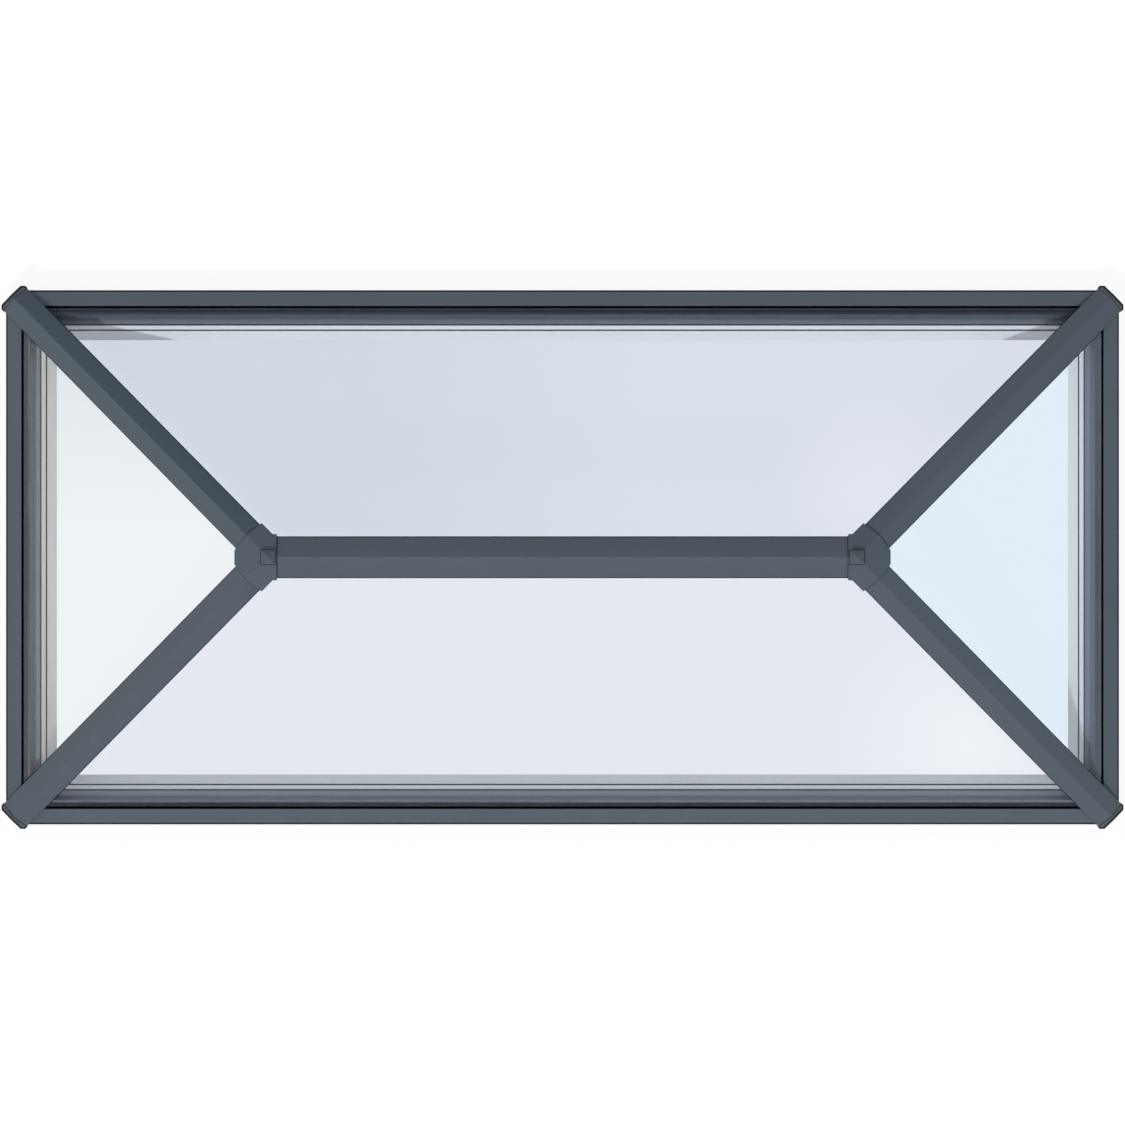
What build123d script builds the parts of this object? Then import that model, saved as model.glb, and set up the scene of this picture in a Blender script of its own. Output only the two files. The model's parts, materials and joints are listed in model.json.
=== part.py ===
from build123d import *
import os
from math import atan, cos, radians, sin, sqrt, tan

# Rectangular hipped roof lantern: an aluminium ring frame on the kerb, four sealed glass units, four hip
# bars, a ridge between two end bosses, and outer cappings. Millimetres, +Z up, X along the ridge, origin
# in the middle of the frame's underside. "Inset" is a level distance in from the frame's outer face, and
# "lift" is a distance square to the glass, counted up from its outer surface.

# Overall size
FRAME_LENGTH = 2000.0
FRAME_WIDTH = 960.0
ROOF_PITCH = 27.5
EDGE_HEIGHT = 52.0          # where the glass plane, run on outwards, meets the frame's outer face

# Sealed glass units
PANE = 4.0
CAVITY = 16.0
SEAL_WIDTH = 6.5
SPACER_WIDTH = 5.0
GLASS_INSET = 33.0          # lower edge of the glass
END_GLASS_TOP = 26.0        # level distance from the apex to the small top edge of an end unit

# Ring frame, outer half
NOSE_INSET = 28.4
NOSE_SLOPE = 20.0
NOSE_DROP = 1.5             # how far the nose's inner edge lies below the glass plane
NOSE_ROUND = 2.6            # of its outer edge
ARRIS_ROUND = 0.8           # of its inner edge
OUTER_INSET = 62.2
FRAME_WALL = 2.5
BED_GASKET = 4.0            # rubber between glass and metal
BED_GASKET_WIDTH = 8.0
EAVES_BED_WIDTH = 5.0

# Thermal break bars
BREAK_GAP = 2.6
BREAK_GROOVE = 4.0
BREAK_HEIGHT = 5.0
LOW_BREAK_Z = 10.0
HIGH_BREAK_DROP = 12.0
BREAK_SETBACK = 1.0

# Ring frame, inner half, with its screw flange
RAKE_ANGLE = 60.4           # of the inner face, from the level
INNER_BOX_WIDTH = 6.6
FLANGE_THICKNESS = 4.0
FLANGE_CLEARANCE = 0.5
SCREW_RADIUS = 3.0
LONG_SIDE_SCREWS = (-760.0, -380.0, 0.0, 380.0, 760.0)
SHORT_SIDE_SCREWS = (-200.0, 200.0)

# Clip-on inner trim
TRIM_GAP = 2.0
TRIM_WALL = 2.0
CLIP_HEIGHT = 16.0
CLIP_REACH = 3.0
CLIP_WALL = 1.5

# Gasket between nose and glass
EDGE_GASKET_TOP = 12.0      # depth of its top below the glass plane
EDGE_GASKET_DEPTH = 20.0

# Cappings
HIP_CAP_HALF = 29.0
RIDGE_CAP_HALF = 36.0
CAP_LIFT = 7.0
CAP_WALL = 2.5
CAP_EDGE_ROUND = 1.5
CAP_GASKET = 3.0
CAP_GASKET_WIDTH = 6.0
CAP_GASKET_PROUD = 1.0
CAP_LEG = 2.0
CAP_LEG_LENGTH = 5.0

# Bars below the glass
SPLINE_HALF = 4.5
SPLINE_CLEARANCE = 0.3
GLASS_CLEARANCE = 2.0
SCREW_SLOT_HALF = 1.5
SCREW_SLOT_DEPTH = 9.0
BAR_WALL = 2.5
BAR_CHAMFER = 7.0
HIP_BAR_HALF = 24.0
HIP_BAR_SIDE = 30.0
RIDGE_BAR_HALF = 25.0
RIDGE_BAR_SIDE = 40.0
COPE_CLEARANCE = 0.5        # between a hip bar's foot and the frame's inner face

# Bosses at the ridge ends
BOSS_REACH = 36.0           # level distance from the apex to the face that meets a bar
BOSS_MARGIN = 3.0           # of that face, each side of the bar
BOSS_WALL = 5.0
BOSS_DROP = 6.0             # below the ridge beam
BOSS_CHAMFER = 8.0
STUD_RADIUS = 5.0

# Hub covers over the ridge ends
HUB_WALL = 3.8
HUB_CLEARANCE = 1.2
HUB_GLASS_GAP = 0.6
HUB_ARM_REACH = 51.6        # level distance from the apex to the lower corners of a hip arm
HUB_RIDGE_REACH = 14.7
HIP_CAP_STOP = 38.0         # level distance from the apex to the top of a hip cap
RIDGE_CAP_STOP = 6.0

# Finials
FINIAL_WIDTH = 25.0
FINIAL_HEIGHT = 0.6         # of its upright sides, above the hub's crest
FINIAL_POINT = 8.6          # of the low pyramid on them
STUD_CLEARANCE = 0.3
STUD_ENGAGEMENT = 2.0

# End caps at the frame corners
CAP_SEAM = 20.0             # level distance from the frame corner to the crest of the seam
END_CAP_FACE = 12.6
END_CAP_PROUD = 1.0
END_CAP_CLIP = 6.0
END_CAP_WALL = 2.4
END_CAP_ROUND = 3.2
END_PLATE_HALF = 17.0

# Sizes that follow
HALF_LENGTH = FRAME_LENGTH / 2
HALF_WIDTH = FRAME_WIDTH / 2
PITCH = radians(ROOF_PITCH)
HIP_SLOPE = atan(tan(PITCH) / sqrt(2))
HIP_CROSS_SLOPE = atan(sin(HIP_SLOPE))
UNIT_THICKNESS = 2 * PANE + CAVITY
SEAT_LIFT = -(UNIT_THICKNESS + BED_GASKET)
APEX_X = HALF_LENGTH - HALF_WIDTH
APEX_Z = EDGE_HEIGHT + HALF_WIDTH * tan(PITCH)
HIP_RUN = HALF_WIDTH * sqrt(2)
INNER_INSET = OUTER_INSET + BREAK_GAP
BOX_INSET = INNER_INSET + INNER_BOX_WIDTH
TRIM_INSET = BOX_INSET + TRIM_GAP
RAKE = radians(RAKE_ANGLE)
CORNER_CUT = END_CAP_FACE + END_CAP_WALL
FAR = FRAME_LENGTH


def roof_height(inset, lift=0.0):
    """Height of the roof slope, moved by lift square to the glass, at an inset from the frame's face."""
    return EDGE_HEIGHT + inset * tan(PITCH) + lift / cos(PITCH)


def glass_edge_point(depth):
    """Point on the square lower edge of the glass, at a depth below its outer surface."""
    return (GLASS_INSET + depth * sin(PITCH), roof_height(GLASS_INSET) - depth * cos(PITCH))


def nose_height(inset):
    """Top of the frame's sloped nose, outside the glass."""
    return roof_height(NOSE_INSET) - NOSE_DROP - (NOSE_INSET - inset) * tan(radians(NOSE_SLOPE))


def platform_height():
    """Level top of the frame, under the gasket that carries the lower edge of the glass."""
    return glass_edge_point(UNIT_THICKNESS)[1] - BED_GASKET


def trim_face_inset():
    """Inset of the frame's innermost edge, where the raking inner face comes down to the kerb."""
    return INNER_INSET + platform_height() / tan(RAKE)


def rake_height(inset, depth=0.0):
    """Height of the raking inner face, at a depth square below it."""
    return (trim_face_inset() - inset) * tan(RAKE) - depth / cos(RAKE)


def flange_inset():
    """Inset of the screw flange's edge, which stays clear of the trim's back."""
    trim_back = trim_face_inset() - FLANGE_THICKNESS / tan(RAKE) - TRIM_WALL / sin(RAKE)
    return trim_back - FLANGE_CLEARANCE


def slope_line(across, lift, slope):
    """Height of the glass plane in a bar's own section, at a distance across from the bar's middle."""
    return lift / cos(slope) - abs(across) * tan(slope)


def polygon(*points):
    """Flat face with straight sides through the points."""
    return make_face(Polyline(*points, close=True))


def mirrored_polygon(*right):
    """Face that is symmetrical about the second axis, from the points of its right half, top to bottom."""
    left = [(-x, y) for x, y in reversed(right) if x > 0]
    return polygon(*right, *left)


def side_plane(side):
    """Section plane of the front or left side: first axis inwards, second axis up."""
    if side == "front":
        return Plane(origin=(-HALF_LENGTH, -HALF_WIDTH, 0), x_dir=(0, 1, 0), z_dir=(1, 0, 0))
    return Plane(origin=(-HALF_LENGTH, HALF_WIDTH, 0), x_dir=(1, 0, 0), z_dir=(0, -1, 0))


def side_length(side):
    return FRAME_LENGTH if side == "front" else FRAME_WIDTH


def mitre_zone(side, setback=0.0):
    """Tall block over the part of the plan that belongs to the front or left side, bounded by the hips."""
    if side == "front":
        plan = polygon((-HALF_LENGTH + setback, -HALF_WIDTH), (HALF_LENGTH - setback, -HALF_WIDTH),
                       (APEX_X - setback, 0), (-APEX_X + setback, 0))
    else:
        plan = polygon((-HALF_LENGTH, -HALF_WIDTH + setback), (-APEX_X - setback, 0),
                       (-HALF_LENGTH, HALF_WIDTH - setback))
    return Pos(0, 0, -FAR / 2) * extrude(plan, FAR, dir=(0, 0, 1))


def side_run(side, section, setback=0.0):
    """Frame section run along the front or left side and mitred at both corners."""
    run = extrude(side_plane(side) * section, side_length(side))
    return run & mitre_zone(side, setback)


def hip_plane(run):
    """Plane square to the front left hip, where the hip line is at a level distance run from the corner."""
    level = (1 / sqrt(2), 1 / sqrt(2))
    axis = (cos(HIP_SLOPE) * level[0], cos(HIP_SLOPE) * level[1], sin(HIP_SLOPE))
    origin = (-HALF_LENGTH + run * level[0], -HALF_WIDTH + run * level[1], EDGE_HEIGHT + run * tan(HIP_SLOPE))
    return Plane(origin=origin, x_dir=(-level[1], level[0], 0), z_dir=axis)


def hip_run(section, start, end):
    """Section run along the front left hip between two level distances from the corner, cut square."""
    return extrude(hip_plane(start) * section, (end - start) / cos(HIP_SLOPE))


def square_cut_run(level_distance, height):
    """Run of the square cut whose point at a height over the hip line is level_distance from the corner."""
    return level_distance + height * sin(HIP_SLOPE)


def corner_slab(start, end):
    """Tall upright slab square to the front left diagonal, between two level distances from the corner."""
    middle = (start + end) / 2 / sqrt(2)
    slab = Box(end - start, FAR, FAR)
    return Pos(-HALF_LENGTH + middle, -HALF_WIDTH + middle, 0) * Rot(0, 0, 45) * slab


def roof_block(lift):
    """Everything below the four roof slopes, with each slope moved by lift square to the glass."""
    foot = -FAR / 4
    rise_y = roof_height(HALF_WIDTH, lift)
    rise_x = roof_height(HALF_LENGTH, lift)
    reach_y = (rise_y - foot) / tan(PITCH)
    reach_x = (rise_x - foot) / tan(PITCH)
    across = polygon((-reach_y, foot), (reach_y, foot), (0, rise_y))
    along = polygon((-reach_x, foot), (reach_x, foot), (0, rise_x))
    gable_x = extrude(Plane.YZ * across, FAR, both=True)
    gable_y = extrude(Plane.XZ * along, FAR, both=True)
    return gable_x & gable_y


def frame_outline():
    """Outer half of the ring frame as a filled shape: nose, level platform and flat underside."""
    return polygon((0, 0), (0, nose_height(0)), (NOSE_INSET, nose_height(NOSE_INSET)),
                   (NOSE_INSET, platform_height()), (OUTER_INSET, platform_height()), (OUTER_INSET, 0))


def break_heights():
    """Middle heights of the lower and upper thermal break bars."""
    return (LOW_BREAK_Z, platform_height() - HIGH_BREAK_DROP)


def break_lands(face_inset, inwards):
    """Solid lands behind a face, which take the thermal break bars."""
    depth = BREAK_GROOVE + FRAME_WALL
    return [Pos(face_inset + inwards * depth / 2, z) * Rectangle(depth, BREAK_HEIGHT + 2 * FRAME_WALL)
            for z in break_heights()]


def break_grooves(face_inset, inwards):
    """Grooves in a face for the thermal break bars."""
    return [Pos(face_inset + inwards * BREAK_GROOVE / 2, z) * Rectangle(BREAK_GROOVE, BREAK_HEIGHT)
            for z in break_heights()]


def outer_frame_section():
    """Outer half of the ring frame: two chambers, and two grooves for the thermal break bars."""
    outline = frame_outline()
    chamber = offset(outline, amount=-FRAME_WALL, kind=Kind.INTERSECTION)
    chamber -= Pos(NOSE_INSET - FRAME_WALL / 2, 0) * Rectangle(FRAME_WALL, 2 * FAR)
    chamber -= break_lands(OUTER_INSET, -1)
    nose = outline.vertices().sort_by(Axis.Y)[-2:].sort_by(Axis.X)
    rounded = fillet(nose[-1], ARRIS_ROUND)
    rounded = fillet(rounded.vertices().sort_by(Axis.X)[:2].sort_by(Axis.Y)[-1], NOSE_ROUND)
    return rounded - chamber - break_grooves(OUTER_INSET, -1)


def leg_clearance():
    """Level distance from a hip's middle that clears the cap's legs on the spline."""
    return SPLINE_HALF + 2 * SPLINE_CLEARANCE + CAP_LEG


def spline_start():
    """Level distance from the corner to the lower end of a hip bar's spline, clear of the nose."""
    return NOSE_INSET * sqrt(2) + leg_clearance()


def thermal_break_section():
    width = 2 * BREAK_GROOVE + BREAK_GAP
    middle = OUTER_INSET + BREAK_GAP / 2
    low, high = (Pos(middle, z) * Rectangle(width, BREAK_HEIGHT) for z in break_heights())
    return low + high


def inner_frame_section():
    """Inner half of the ring frame: a slim box with a raking top, a clip rail and a screw flange."""
    outline = polygon((INNER_INSET, 0), (INNER_INSET, platform_height()), (BOX_INSET, rake_height(BOX_INSET)),
                      (BOX_INSET, 0))
    chamber = offset(outline, amount=-FRAME_WALL, kind=Kind.INTERSECTION) - break_lands(INNER_INSET, 1)
    box = outline - chamber - break_grooves(INNER_INSET, 1)
    flange = polygon((BOX_INSET, 0), (flange_inset(), 0), (flange_inset(), FLANGE_THICKNESS),
                     (BOX_INSET, FLANGE_THICKNESS))
    rail = polygon((BOX_INSET, CLIP_HEIGHT), (BOX_INSET + CLIP_REACH, CLIP_HEIGHT),
                   (BOX_INSET + CLIP_REACH, CLIP_HEIGHT - CLIP_WALL), (BOX_INSET, CLIP_HEIGHT - CLIP_WALL))
    return box + flange + rail


def trim_section():
    """Clip-on inner trim: a raking plate from the joint down to the kerb, with a leg on the clip rail."""
    face = trim_face_inset()
    plate = polygon((TRIM_INSET, rake_height(TRIM_INSET)), (face, 0), (face - TRIM_WALL / sin(RAKE), 0),
                    (TRIM_INSET, rake_height(TRIM_INSET, TRIM_WALL)))
    leg_end = TRIM_INSET + CLIP_WALL
    leg = polygon((TRIM_INSET, CLIP_HEIGHT), (TRIM_INSET, rake_height(TRIM_INSET, TRIM_WALL / 2)),
                  (leg_end, rake_height(leg_end, TRIM_WALL / 2)), (leg_end, CLIP_HEIGHT))
    return plate + leg


def edge_gasket_section():
    """Rubber wedge between the frame's nose and the lower edge of the glass."""
    return polygon((NOSE_INSET, roof_height(NOSE_INSET, -EDGE_GASKET_TOP)), glass_edge_point(EDGE_GASKET_TOP),
                   glass_edge_point(EDGE_GASKET_DEPTH),
                   (NOSE_INSET, roof_height(NOSE_INSET, -EDGE_GASKET_DEPTH)))


def eaves_bed_section():
    """Wedge of rubber between the level platform and the underside of the glass."""
    start = glass_edge_point(UNIT_THICKNESS)[0]
    end = start + EAVES_BED_WIDTH
    return polygon((start, platform_height()), (start, roof_height(start, -UNIT_THICKNESS)),
                   (end, roof_height(end, -UNIT_THICKNESS)), (end, platform_height()))


def cap_skin_section(half, slope):
    """Capping without its legs: two faces parallel to the glass, and edge lips down to the gasket."""
    inner = half - CAP_WALL
    skin = mirrored_polygon((0, slope_line(0, CAP_LIFT, slope)), (half, slope_line(half, CAP_LIFT, slope)),
                            (half, slope_line(half, CAP_GASKET, slope)),
                            (inner, slope_line(inner, CAP_GASKET, slope)),
                            (inner, slope_line(inner, CAP_LIFT - CAP_WALL, slope)),
                            (0, slope_line(0, CAP_LIFT - CAP_WALL, slope)))
    edges = [v for v in skin.vertices() if abs(abs(v.X) - half) < 0.01
             and abs(v.Y - slope_line(half, CAP_LIFT, slope)) < 0.01]
    return fillet(edges, CAP_EDGE_ROUND)


def cap_leg_section(slope):
    """Two legs of a capping, which straddle the bar's spline."""
    start = SPLINE_HALF + SPLINE_CLEARANCE
    end = start + CAP_LEG
    root = CAP_LIFT - CAP_WALL / 2
    foot = slope_line(start, CAP_LIFT - CAP_WALL, slope) - CAP_LEG_LENGTH
    leg = polygon((start, foot), (start, slope_line(start, root, slope)), (end, slope_line(end, root, slope)),
                  (end, foot))
    return leg + mirror(leg, about=Plane.YZ)


def strip_pair_section(start, end, low, high, slope):
    """Two rubber strips parallel to the glass, one each side of a bar."""
    strip = polygon((start, slope_line(start, low, slope)), (start, slope_line(start, high, slope)),
                    (end, slope_line(end, high, slope)), (end, slope_line(end, low, slope)))
    return strip + mirror(strip, about=Plane.YZ)


def cap_gasket_section(half, slope):
    return strip_pair_section(half - CAP_GASKET_WIDTH, half + CAP_GASKET_PROUD, 0, CAP_GASKET, slope)


def bed_gasket_section(half, slope):
    return strip_pair_section(half - BED_GASKET_WIDTH, half, SEAT_LIFT, -UNIT_THICKNESS, slope)


def bar_section(half, side, slope):
    """Bar below the glass: hollow box with sloped shoulders, and a slotted spline up between the panes."""
    shoulder = slope_line(half, SEAT_LIFT, slope)
    bottom = shoulder - side
    box = mirrored_polygon((0, slope_line(0, SEAT_LIFT, slope)), (half, shoulder),
                           (half, bottom + BAR_CHAMFER), (half - BAR_CHAMFER, bottom))
    chamber = offset(box, amount=-BAR_WALL, kind=Kind.INTERSECTION)
    spline_top = slope_line(SPLINE_HALF, CAP_LIFT - CAP_WALL, slope) - SPLINE_CLEARANCE
    spline_foot = slope_line(0, SEAT_LIFT, slope) - BAR_WALL
    spline = polygon((-SPLINE_HALF, spline_foot), (SPLINE_HALF, spline_foot),
                     (SPLINE_HALF, spline_top), (-SPLINE_HALF, spline_top))
    slot = Pos(0, spline_top - SCREW_SLOT_DEPTH / 2) * Rectangle(2 * SCREW_SLOT_HALF, SCREW_SLOT_DEPTH)
    return box - chamber + (spline - chamber) - slot


def eaves_envelope(side):
    """Filled outline of the frame's inner part on the front or left side, which a hip bar is cut to fit."""
    outline = polygon((-FRAME_WALL, 0), (-FRAME_WALL, platform_height()),
                      (INNER_INSET + COPE_CLEARANCE, platform_height()),
                      (trim_face_inset() + COPE_CLEARANCE, 0))
    wide = extrude(side_plane(side) * outline, side_length(side))
    return wide & mitre_zone(side)


def slope_plane(side):
    """Plane of the outer glass surface on the front or left side: second axis up the slope."""
    lean, rise = sin(PITCH), cos(PITCH)
    if side == "front":
        return Plane(origin=(0, -HALF_WIDTH, EDGE_HEIGHT), x_dir=(1, 0, 0), z_dir=(0, -lean, rise))
    return Plane(origin=(-HALF_LENGTH, 0, EDGE_HEIGHT), x_dir=(0, -1, 0), z_dir=(-lean, 0, rise))


def bar_clearance(slope):
    """Level distance from a bar's middle to the top corner of the glass, so its lower corner clears it."""
    return SPLINE_HALF + GLASS_CLEARANCE + UNIT_THICKNESS * sin(slope)


def unit_outline(side, inset):
    """Outline of a glass unit in its own slope plane, drawn in by inset on every edge."""
    half = HALF_LENGTH if side == "front" else HALF_WIDTH
    hip_gap = bar_clearance(HIP_CROSS_SLOPE) / cos(HIP_CROSS_SLOPE)
    half -= (hip_gap + inset) * sqrt(1 + cos(PITCH) ** 2)
    low = GLASS_INSET / cos(PITCH) + inset
    top_gap = bar_clearance(PITCH) if side == "front" else END_GLASS_TOP
    high = (HALF_WIDTH - top_gap) / cos(PITCH) - inset
    low_half = half - low * cos(PITCH)
    high_half = half - high * cos(PITCH)
    return polygon((-low_half, low), (low_half, low), (high_half, high), (-high_half, high))


def unit_layer(side, outline, top, thickness):
    """Sheet or ring of a glass unit, from a depth below its outer surface."""
    return extrude(slope_plane(side) * Pos(0, 0, -top) * outline, -thickness)


def glass_unit(side):
    """Two panes, the spacer frame between them and the seal round it, for the front or left side."""
    pane = unit_outline(side, 0)
    ring_in = unit_outline(side, SEAL_WIDTH)
    ring_out = unit_outline(side, SEAL_WIDTH + SPACER_WIDTH)
    panes = Compound([unit_layer(side, pane, 0, PANE), unit_layer(side, pane, PANE + CAVITY, PANE)])
    spacer = unit_layer(side, ring_in - ring_out, PANE, CAVITY)
    seal = unit_layer(side, pane - ring_in, PANE, CAVITY)
    return panes, spacer, seal


def screw_holes(side):
    """Upright clearance holes along the middle of the inner frame's flange, on the front or left side."""
    inset = (BOX_INSET + flange_inset()) / 2
    if side == "front":
        spots = [(x, -HALF_WIDTH + inset) for x in LONG_SIDE_SCREWS]
    else:
        spots = [(-HALF_LENGTH + inset, y) for y in SHORT_SIDE_SCREWS]
    return [Pos(x, y, FLANGE_THICKNESS / 2) * Cylinder(SCREW_RADIUS, 2 * FLANGE_THICKNESS) for x, y in spots]


def hip_bar():
    """Front left hip bar: its foot is cut to sit over the frame, its head square to meet the boss."""
    bar = hip_run(bar_section(HIP_BAR_HALF, HIP_BAR_SIDE, HIP_CROSS_SLOPE), 0, HIP_RUN)
    bar -= eaves_envelope("front")
    bar -= eaves_envelope("left")
    bar &= corner_slab(spline_start(), HIP_RUN - BOSS_REACH)
    return bar.solids().sort_by(SortBy.VOLUME)[-1]


def hip_bed_gaskets():
    """Two strips on the front left hip bar, from the frame's inner half to the boss."""
    strips = hip_run(bed_gasket_section(HIP_BAR_HALF, HIP_CROSS_SLOPE), 0, HIP_RUN)
    return strips & corner_slab(INNER_INSET * sqrt(2), HIP_RUN - BOSS_REACH)


def cap_start():
    """Run of the seam between a hip cap and its end cap."""
    return square_cut_run(CAP_SEAM, slope_line(0, CAP_LIFT, HIP_CROSS_SLOPE))


def hip_cap():
    """Front left hip cap, from the seam to under the hub cover; its legs start inside the nose."""
    end = HIP_RUN - HIP_CAP_STOP
    skin = hip_run(cap_skin_section(HIP_CAP_HALF, HIP_CROSS_SLOPE), cap_start(), end)
    return skin + hip_run(cap_leg_section(HIP_CROSS_SLOPE), spline_start(), end)


def hip_cap_gaskets():
    """Two strips under the edges of the front left hip cap, where it lies on the glass."""
    strips = hip_run(cap_gasket_section(HIP_CAP_HALF, HIP_CROSS_SLOPE), cap_start(), HIP_RUN - HIP_CAP_STOP)
    return strips & Box(FRAME_LENGTH - 2 * GLASS_INSET, FRAME_WIDTH - 2 * GLASS_INSET, FAR)


def end_cap_profile(half, lift):
    """Filled section of an end cap's head, from its two top faces down to the cap's gasket line."""
    return mirrored_polygon((0, slope_line(0, lift, HIP_CROSS_SLOPE)),
                            (half, slope_line(half, lift, HIP_CROSS_SLOPE)),
                            (half, slope_line(half, CAP_GASKET, HIP_CROSS_SLOPE)),
                            (0, slope_line(0, CAP_GASKET, HIP_CROSS_SLOPE)))


def end_cap_column(half, face):
    """Tall block on an end cap's plan: a straight face square to the diagonal, with clipped corners."""
    plan = polygon((face, -half + END_CAP_CLIP), (face + END_CAP_CLIP, -half), (FAR / 4, -half),
                   (FAR / 4, half), (face + END_CAP_CLIP, half), (face, half - END_CAP_CLIP))
    return Pos(-HALF_LENGTH, -HALF_WIDTH, 0) * Rot(0, 0, 45) * extrude(plan, FAR / 4, dir=(0, 0, 1))


def end_cap():
    """Moulded cap over the front left hip's foot: a hollow head, and a plate down the frame's cut corner."""
    half = HIP_CAP_HALF + END_CAP_PROUD
    lift = CAP_LIFT + END_CAP_PROUD
    back = END_CAP_FACE + END_CAP_WALL
    head = hip_run(end_cap_profile(half, lift), -HIP_CAP_HALF, cap_start())
    head &= end_cap_column(half, END_CAP_FACE)
    fronts = head.faces().sort_by(Axis((0, 0, 0), (1, 1, 0)))[:3]
    rim = [edge for face in fronts for edge in face.edges()
           if abs(edge.tangent_at(0.5).Z) < cos(HIP_CROSS_SLOPE) and edge.center().Z > face.center().Z]
    head = fillet(rim, END_CAP_ROUND)
    hollow = hip_run(end_cap_profile(half - END_CAP_WALL, lift - END_CAP_WALL), -HIP_CAP_HALF, HIP_CAP_HALF)
    head -= hollow & end_cap_column(half - END_CAP_WALL, back)
    plate = Pos(-HALF_LENGTH, -HALF_WIDTH, 0) * Rot(0, 0, 45) * extrude(
        Pos((END_CAP_FACE + back) / 2, 0) * Rectangle(END_CAP_WALL, 2 * END_PLATE_HALF), FAR / 4)
    return head + (plate & roof_block(lift - END_CAP_ROUND))


def ridge_run(section, reach):
    """Section run along the ridge between two points at a level distance reach inside each apex."""
    length = 2 * (APEX_X - reach)
    plane = Plane(origin=(-length / 2, 0, APEX_Z), x_dir=(0, 1, 0), z_dir=(1, 0, 0))
    return extrude(plane * section, length)


def boss_plan(inset):
    """Plan of a boss, apex at the origin: a face square to each bar, drawn in by inset."""
    reach = BOSS_REACH - inset
    ridge_half = RIDGE_BAR_HALF + BOSS_MARGIN - inset
    hip_half = HIP_BAR_HALF + BOSS_MARGIN - inset
    near = (reach - hip_half) / sqrt(2)
    far = (reach + hip_half) / sqrt(2)
    return polygon((reach, ridge_half), (-near, far), (-far, near), (-far, -near), (-near, -far),
                   (reach, -ridge_half))


def boss_block(inset, bottom):
    """Upright block on a boss's plan, bevelled round its lower end."""
    block = extrude(boss_plan(inset), APEX_Z - bottom, dir=(0, 0, 1))
    block = chamfer(block.faces().sort_by(Axis.Z)[0].edges(), BOSS_CHAMFER)
    return Pos(-APEX_X, 0, bottom) * block


def boss():
    """Left boss: a hollow body under the glass, with a stud up through the hub cover into the finial."""
    bottom = APEX_Z + slope_line(RIDGE_BAR_HALF, SEAT_LIFT, PITCH) - RIDGE_BAR_SIDE - BOSS_DROP
    floor = bottom + BOSS_WALL
    body = boss_block(0, bottom) & roof_block(SEAT_LIFT)
    body -= boss_block(BOSS_WALL, floor) & roof_block(SEAT_LIFT - BOSS_WALL)
    return body + Pos(-APEX_X, 0, floor) * extrude(Circle(STUD_RADIUS), hub_crest() + STUD_ENGAGEMENT - floor)


def hub_crest():
    """Height of the hub cover's crest over the apex."""
    return APEX_Z + (CAP_LIFT + HUB_WALL) / cos(PITCH)


def hub_arms(hip_half, ridge_half, ridge_reach, front):
    """Plan of a hub, apex at the origin: two hip arms, the ridge arm and the flat front between the hips."""
    arm = Pos(FAR / 8, 0) * Rectangle(FAR / 4, 2 * hip_half)
    ridge_arm = Pos(ridge_reach / 2, 0) * Rectangle(ridge_reach, 2 * ridge_half)
    infill = polygon((0, 0), (-front, front), (-front, -front))
    plan = Rot(0, 0, 135) * arm + Rot(0, 0, -135) * arm + ridge_arm + infill
    return plan & Pos((ridge_reach - front) / 2, 0) * Rectangle(ridge_reach + front, FAR)


def hub_cover():
    """Left hub cover: a faceted shell over the ends of two hip caps and the ridge cap, open underneath."""
    outer_half = HIP_CAP_HALF + HUB_CLEARANCE + HUB_WALL
    front = (HUB_ARM_REACH + outer_half) / sqrt(2)
    outer = hub_arms(outer_half, RIDGE_CAP_HALF + HUB_CLEARANCE + HUB_WALL, HUB_RIDGE_REACH, front)
    inner = hub_arms(HIP_CAP_HALF + HUB_CLEARANCE, RIDGE_CAP_HALF + HUB_CLEARANCE, 2 * HUB_RIDGE_REACH,
                     front - HUB_WALL)
    apex = Pos(-APEX_X, 0, 0)
    cover = apex * extrude(outer, FAR, dir=(0, 0, 1)) & roof_block(CAP_LIFT + HUB_WALL)
    cover -= roof_block(HUB_GLASS_GAP)
    cover -= (apex * extrude(inner, FAR, dir=(0, 0, 1))) & roof_block(CAP_LIFT)
    edge = slope_line(outer_half, CAP_LIFT + HUB_WALL, HIP_CROSS_SLOPE)
    stop = square_cut_run(HIP_RUN - HUB_ARM_REACH, edge)
    beyond = extrude(hip_plane(stop) * Rectangle(FAR / 4, FAR / 4), -FAR / 4)
    cover -= beyond
    cover -= mirror(beyond, about=Plane.XZ)
    cover -= Pos(-APEX_X, 0, APEX_Z) * Cylinder(STUD_RADIUS + STUD_CLEARANCE, FAR / 4)
    return cover.solids().sort_by(SortBy.VOLUME)[-1]


def finial():
    """Left finial: a square block with a low pyramid top, cut underneath to sit on the hub's facets."""
    half = FINIAL_WIDTH / 2
    base = hub_crest() - FINIAL_WIDTH
    top = hub_crest() + FINIAL_HEIGHT
    outline = polygon((-half, base), (half, base), (half, top), (0, top + FINIAL_POINT), (-half, top))
    block = extrude(Plane.XZ * outline, half, both=True) & extrude(Plane.YZ * outline, half, both=True)
    block = Pos(-APEX_X, 0, 0) * block - roof_block(CAP_LIFT + HUB_WALL)
    hole = Cylinder(STUD_RADIUS + STUD_CLEARANCE, FINIAL_WIDTH, align=(Align.CENTER, Align.CENTER, Align.MAX))
    return block - Pos(-APEX_X, 0, hub_crest() + STUD_ENGAGEMENT + STUD_CLEARANCE) * hole


def flip_x(shape):
    return mirror(shape, about=Plane.YZ)


def flip_y(shape):
    return mirror(shape, about=Plane.XZ)


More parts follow.
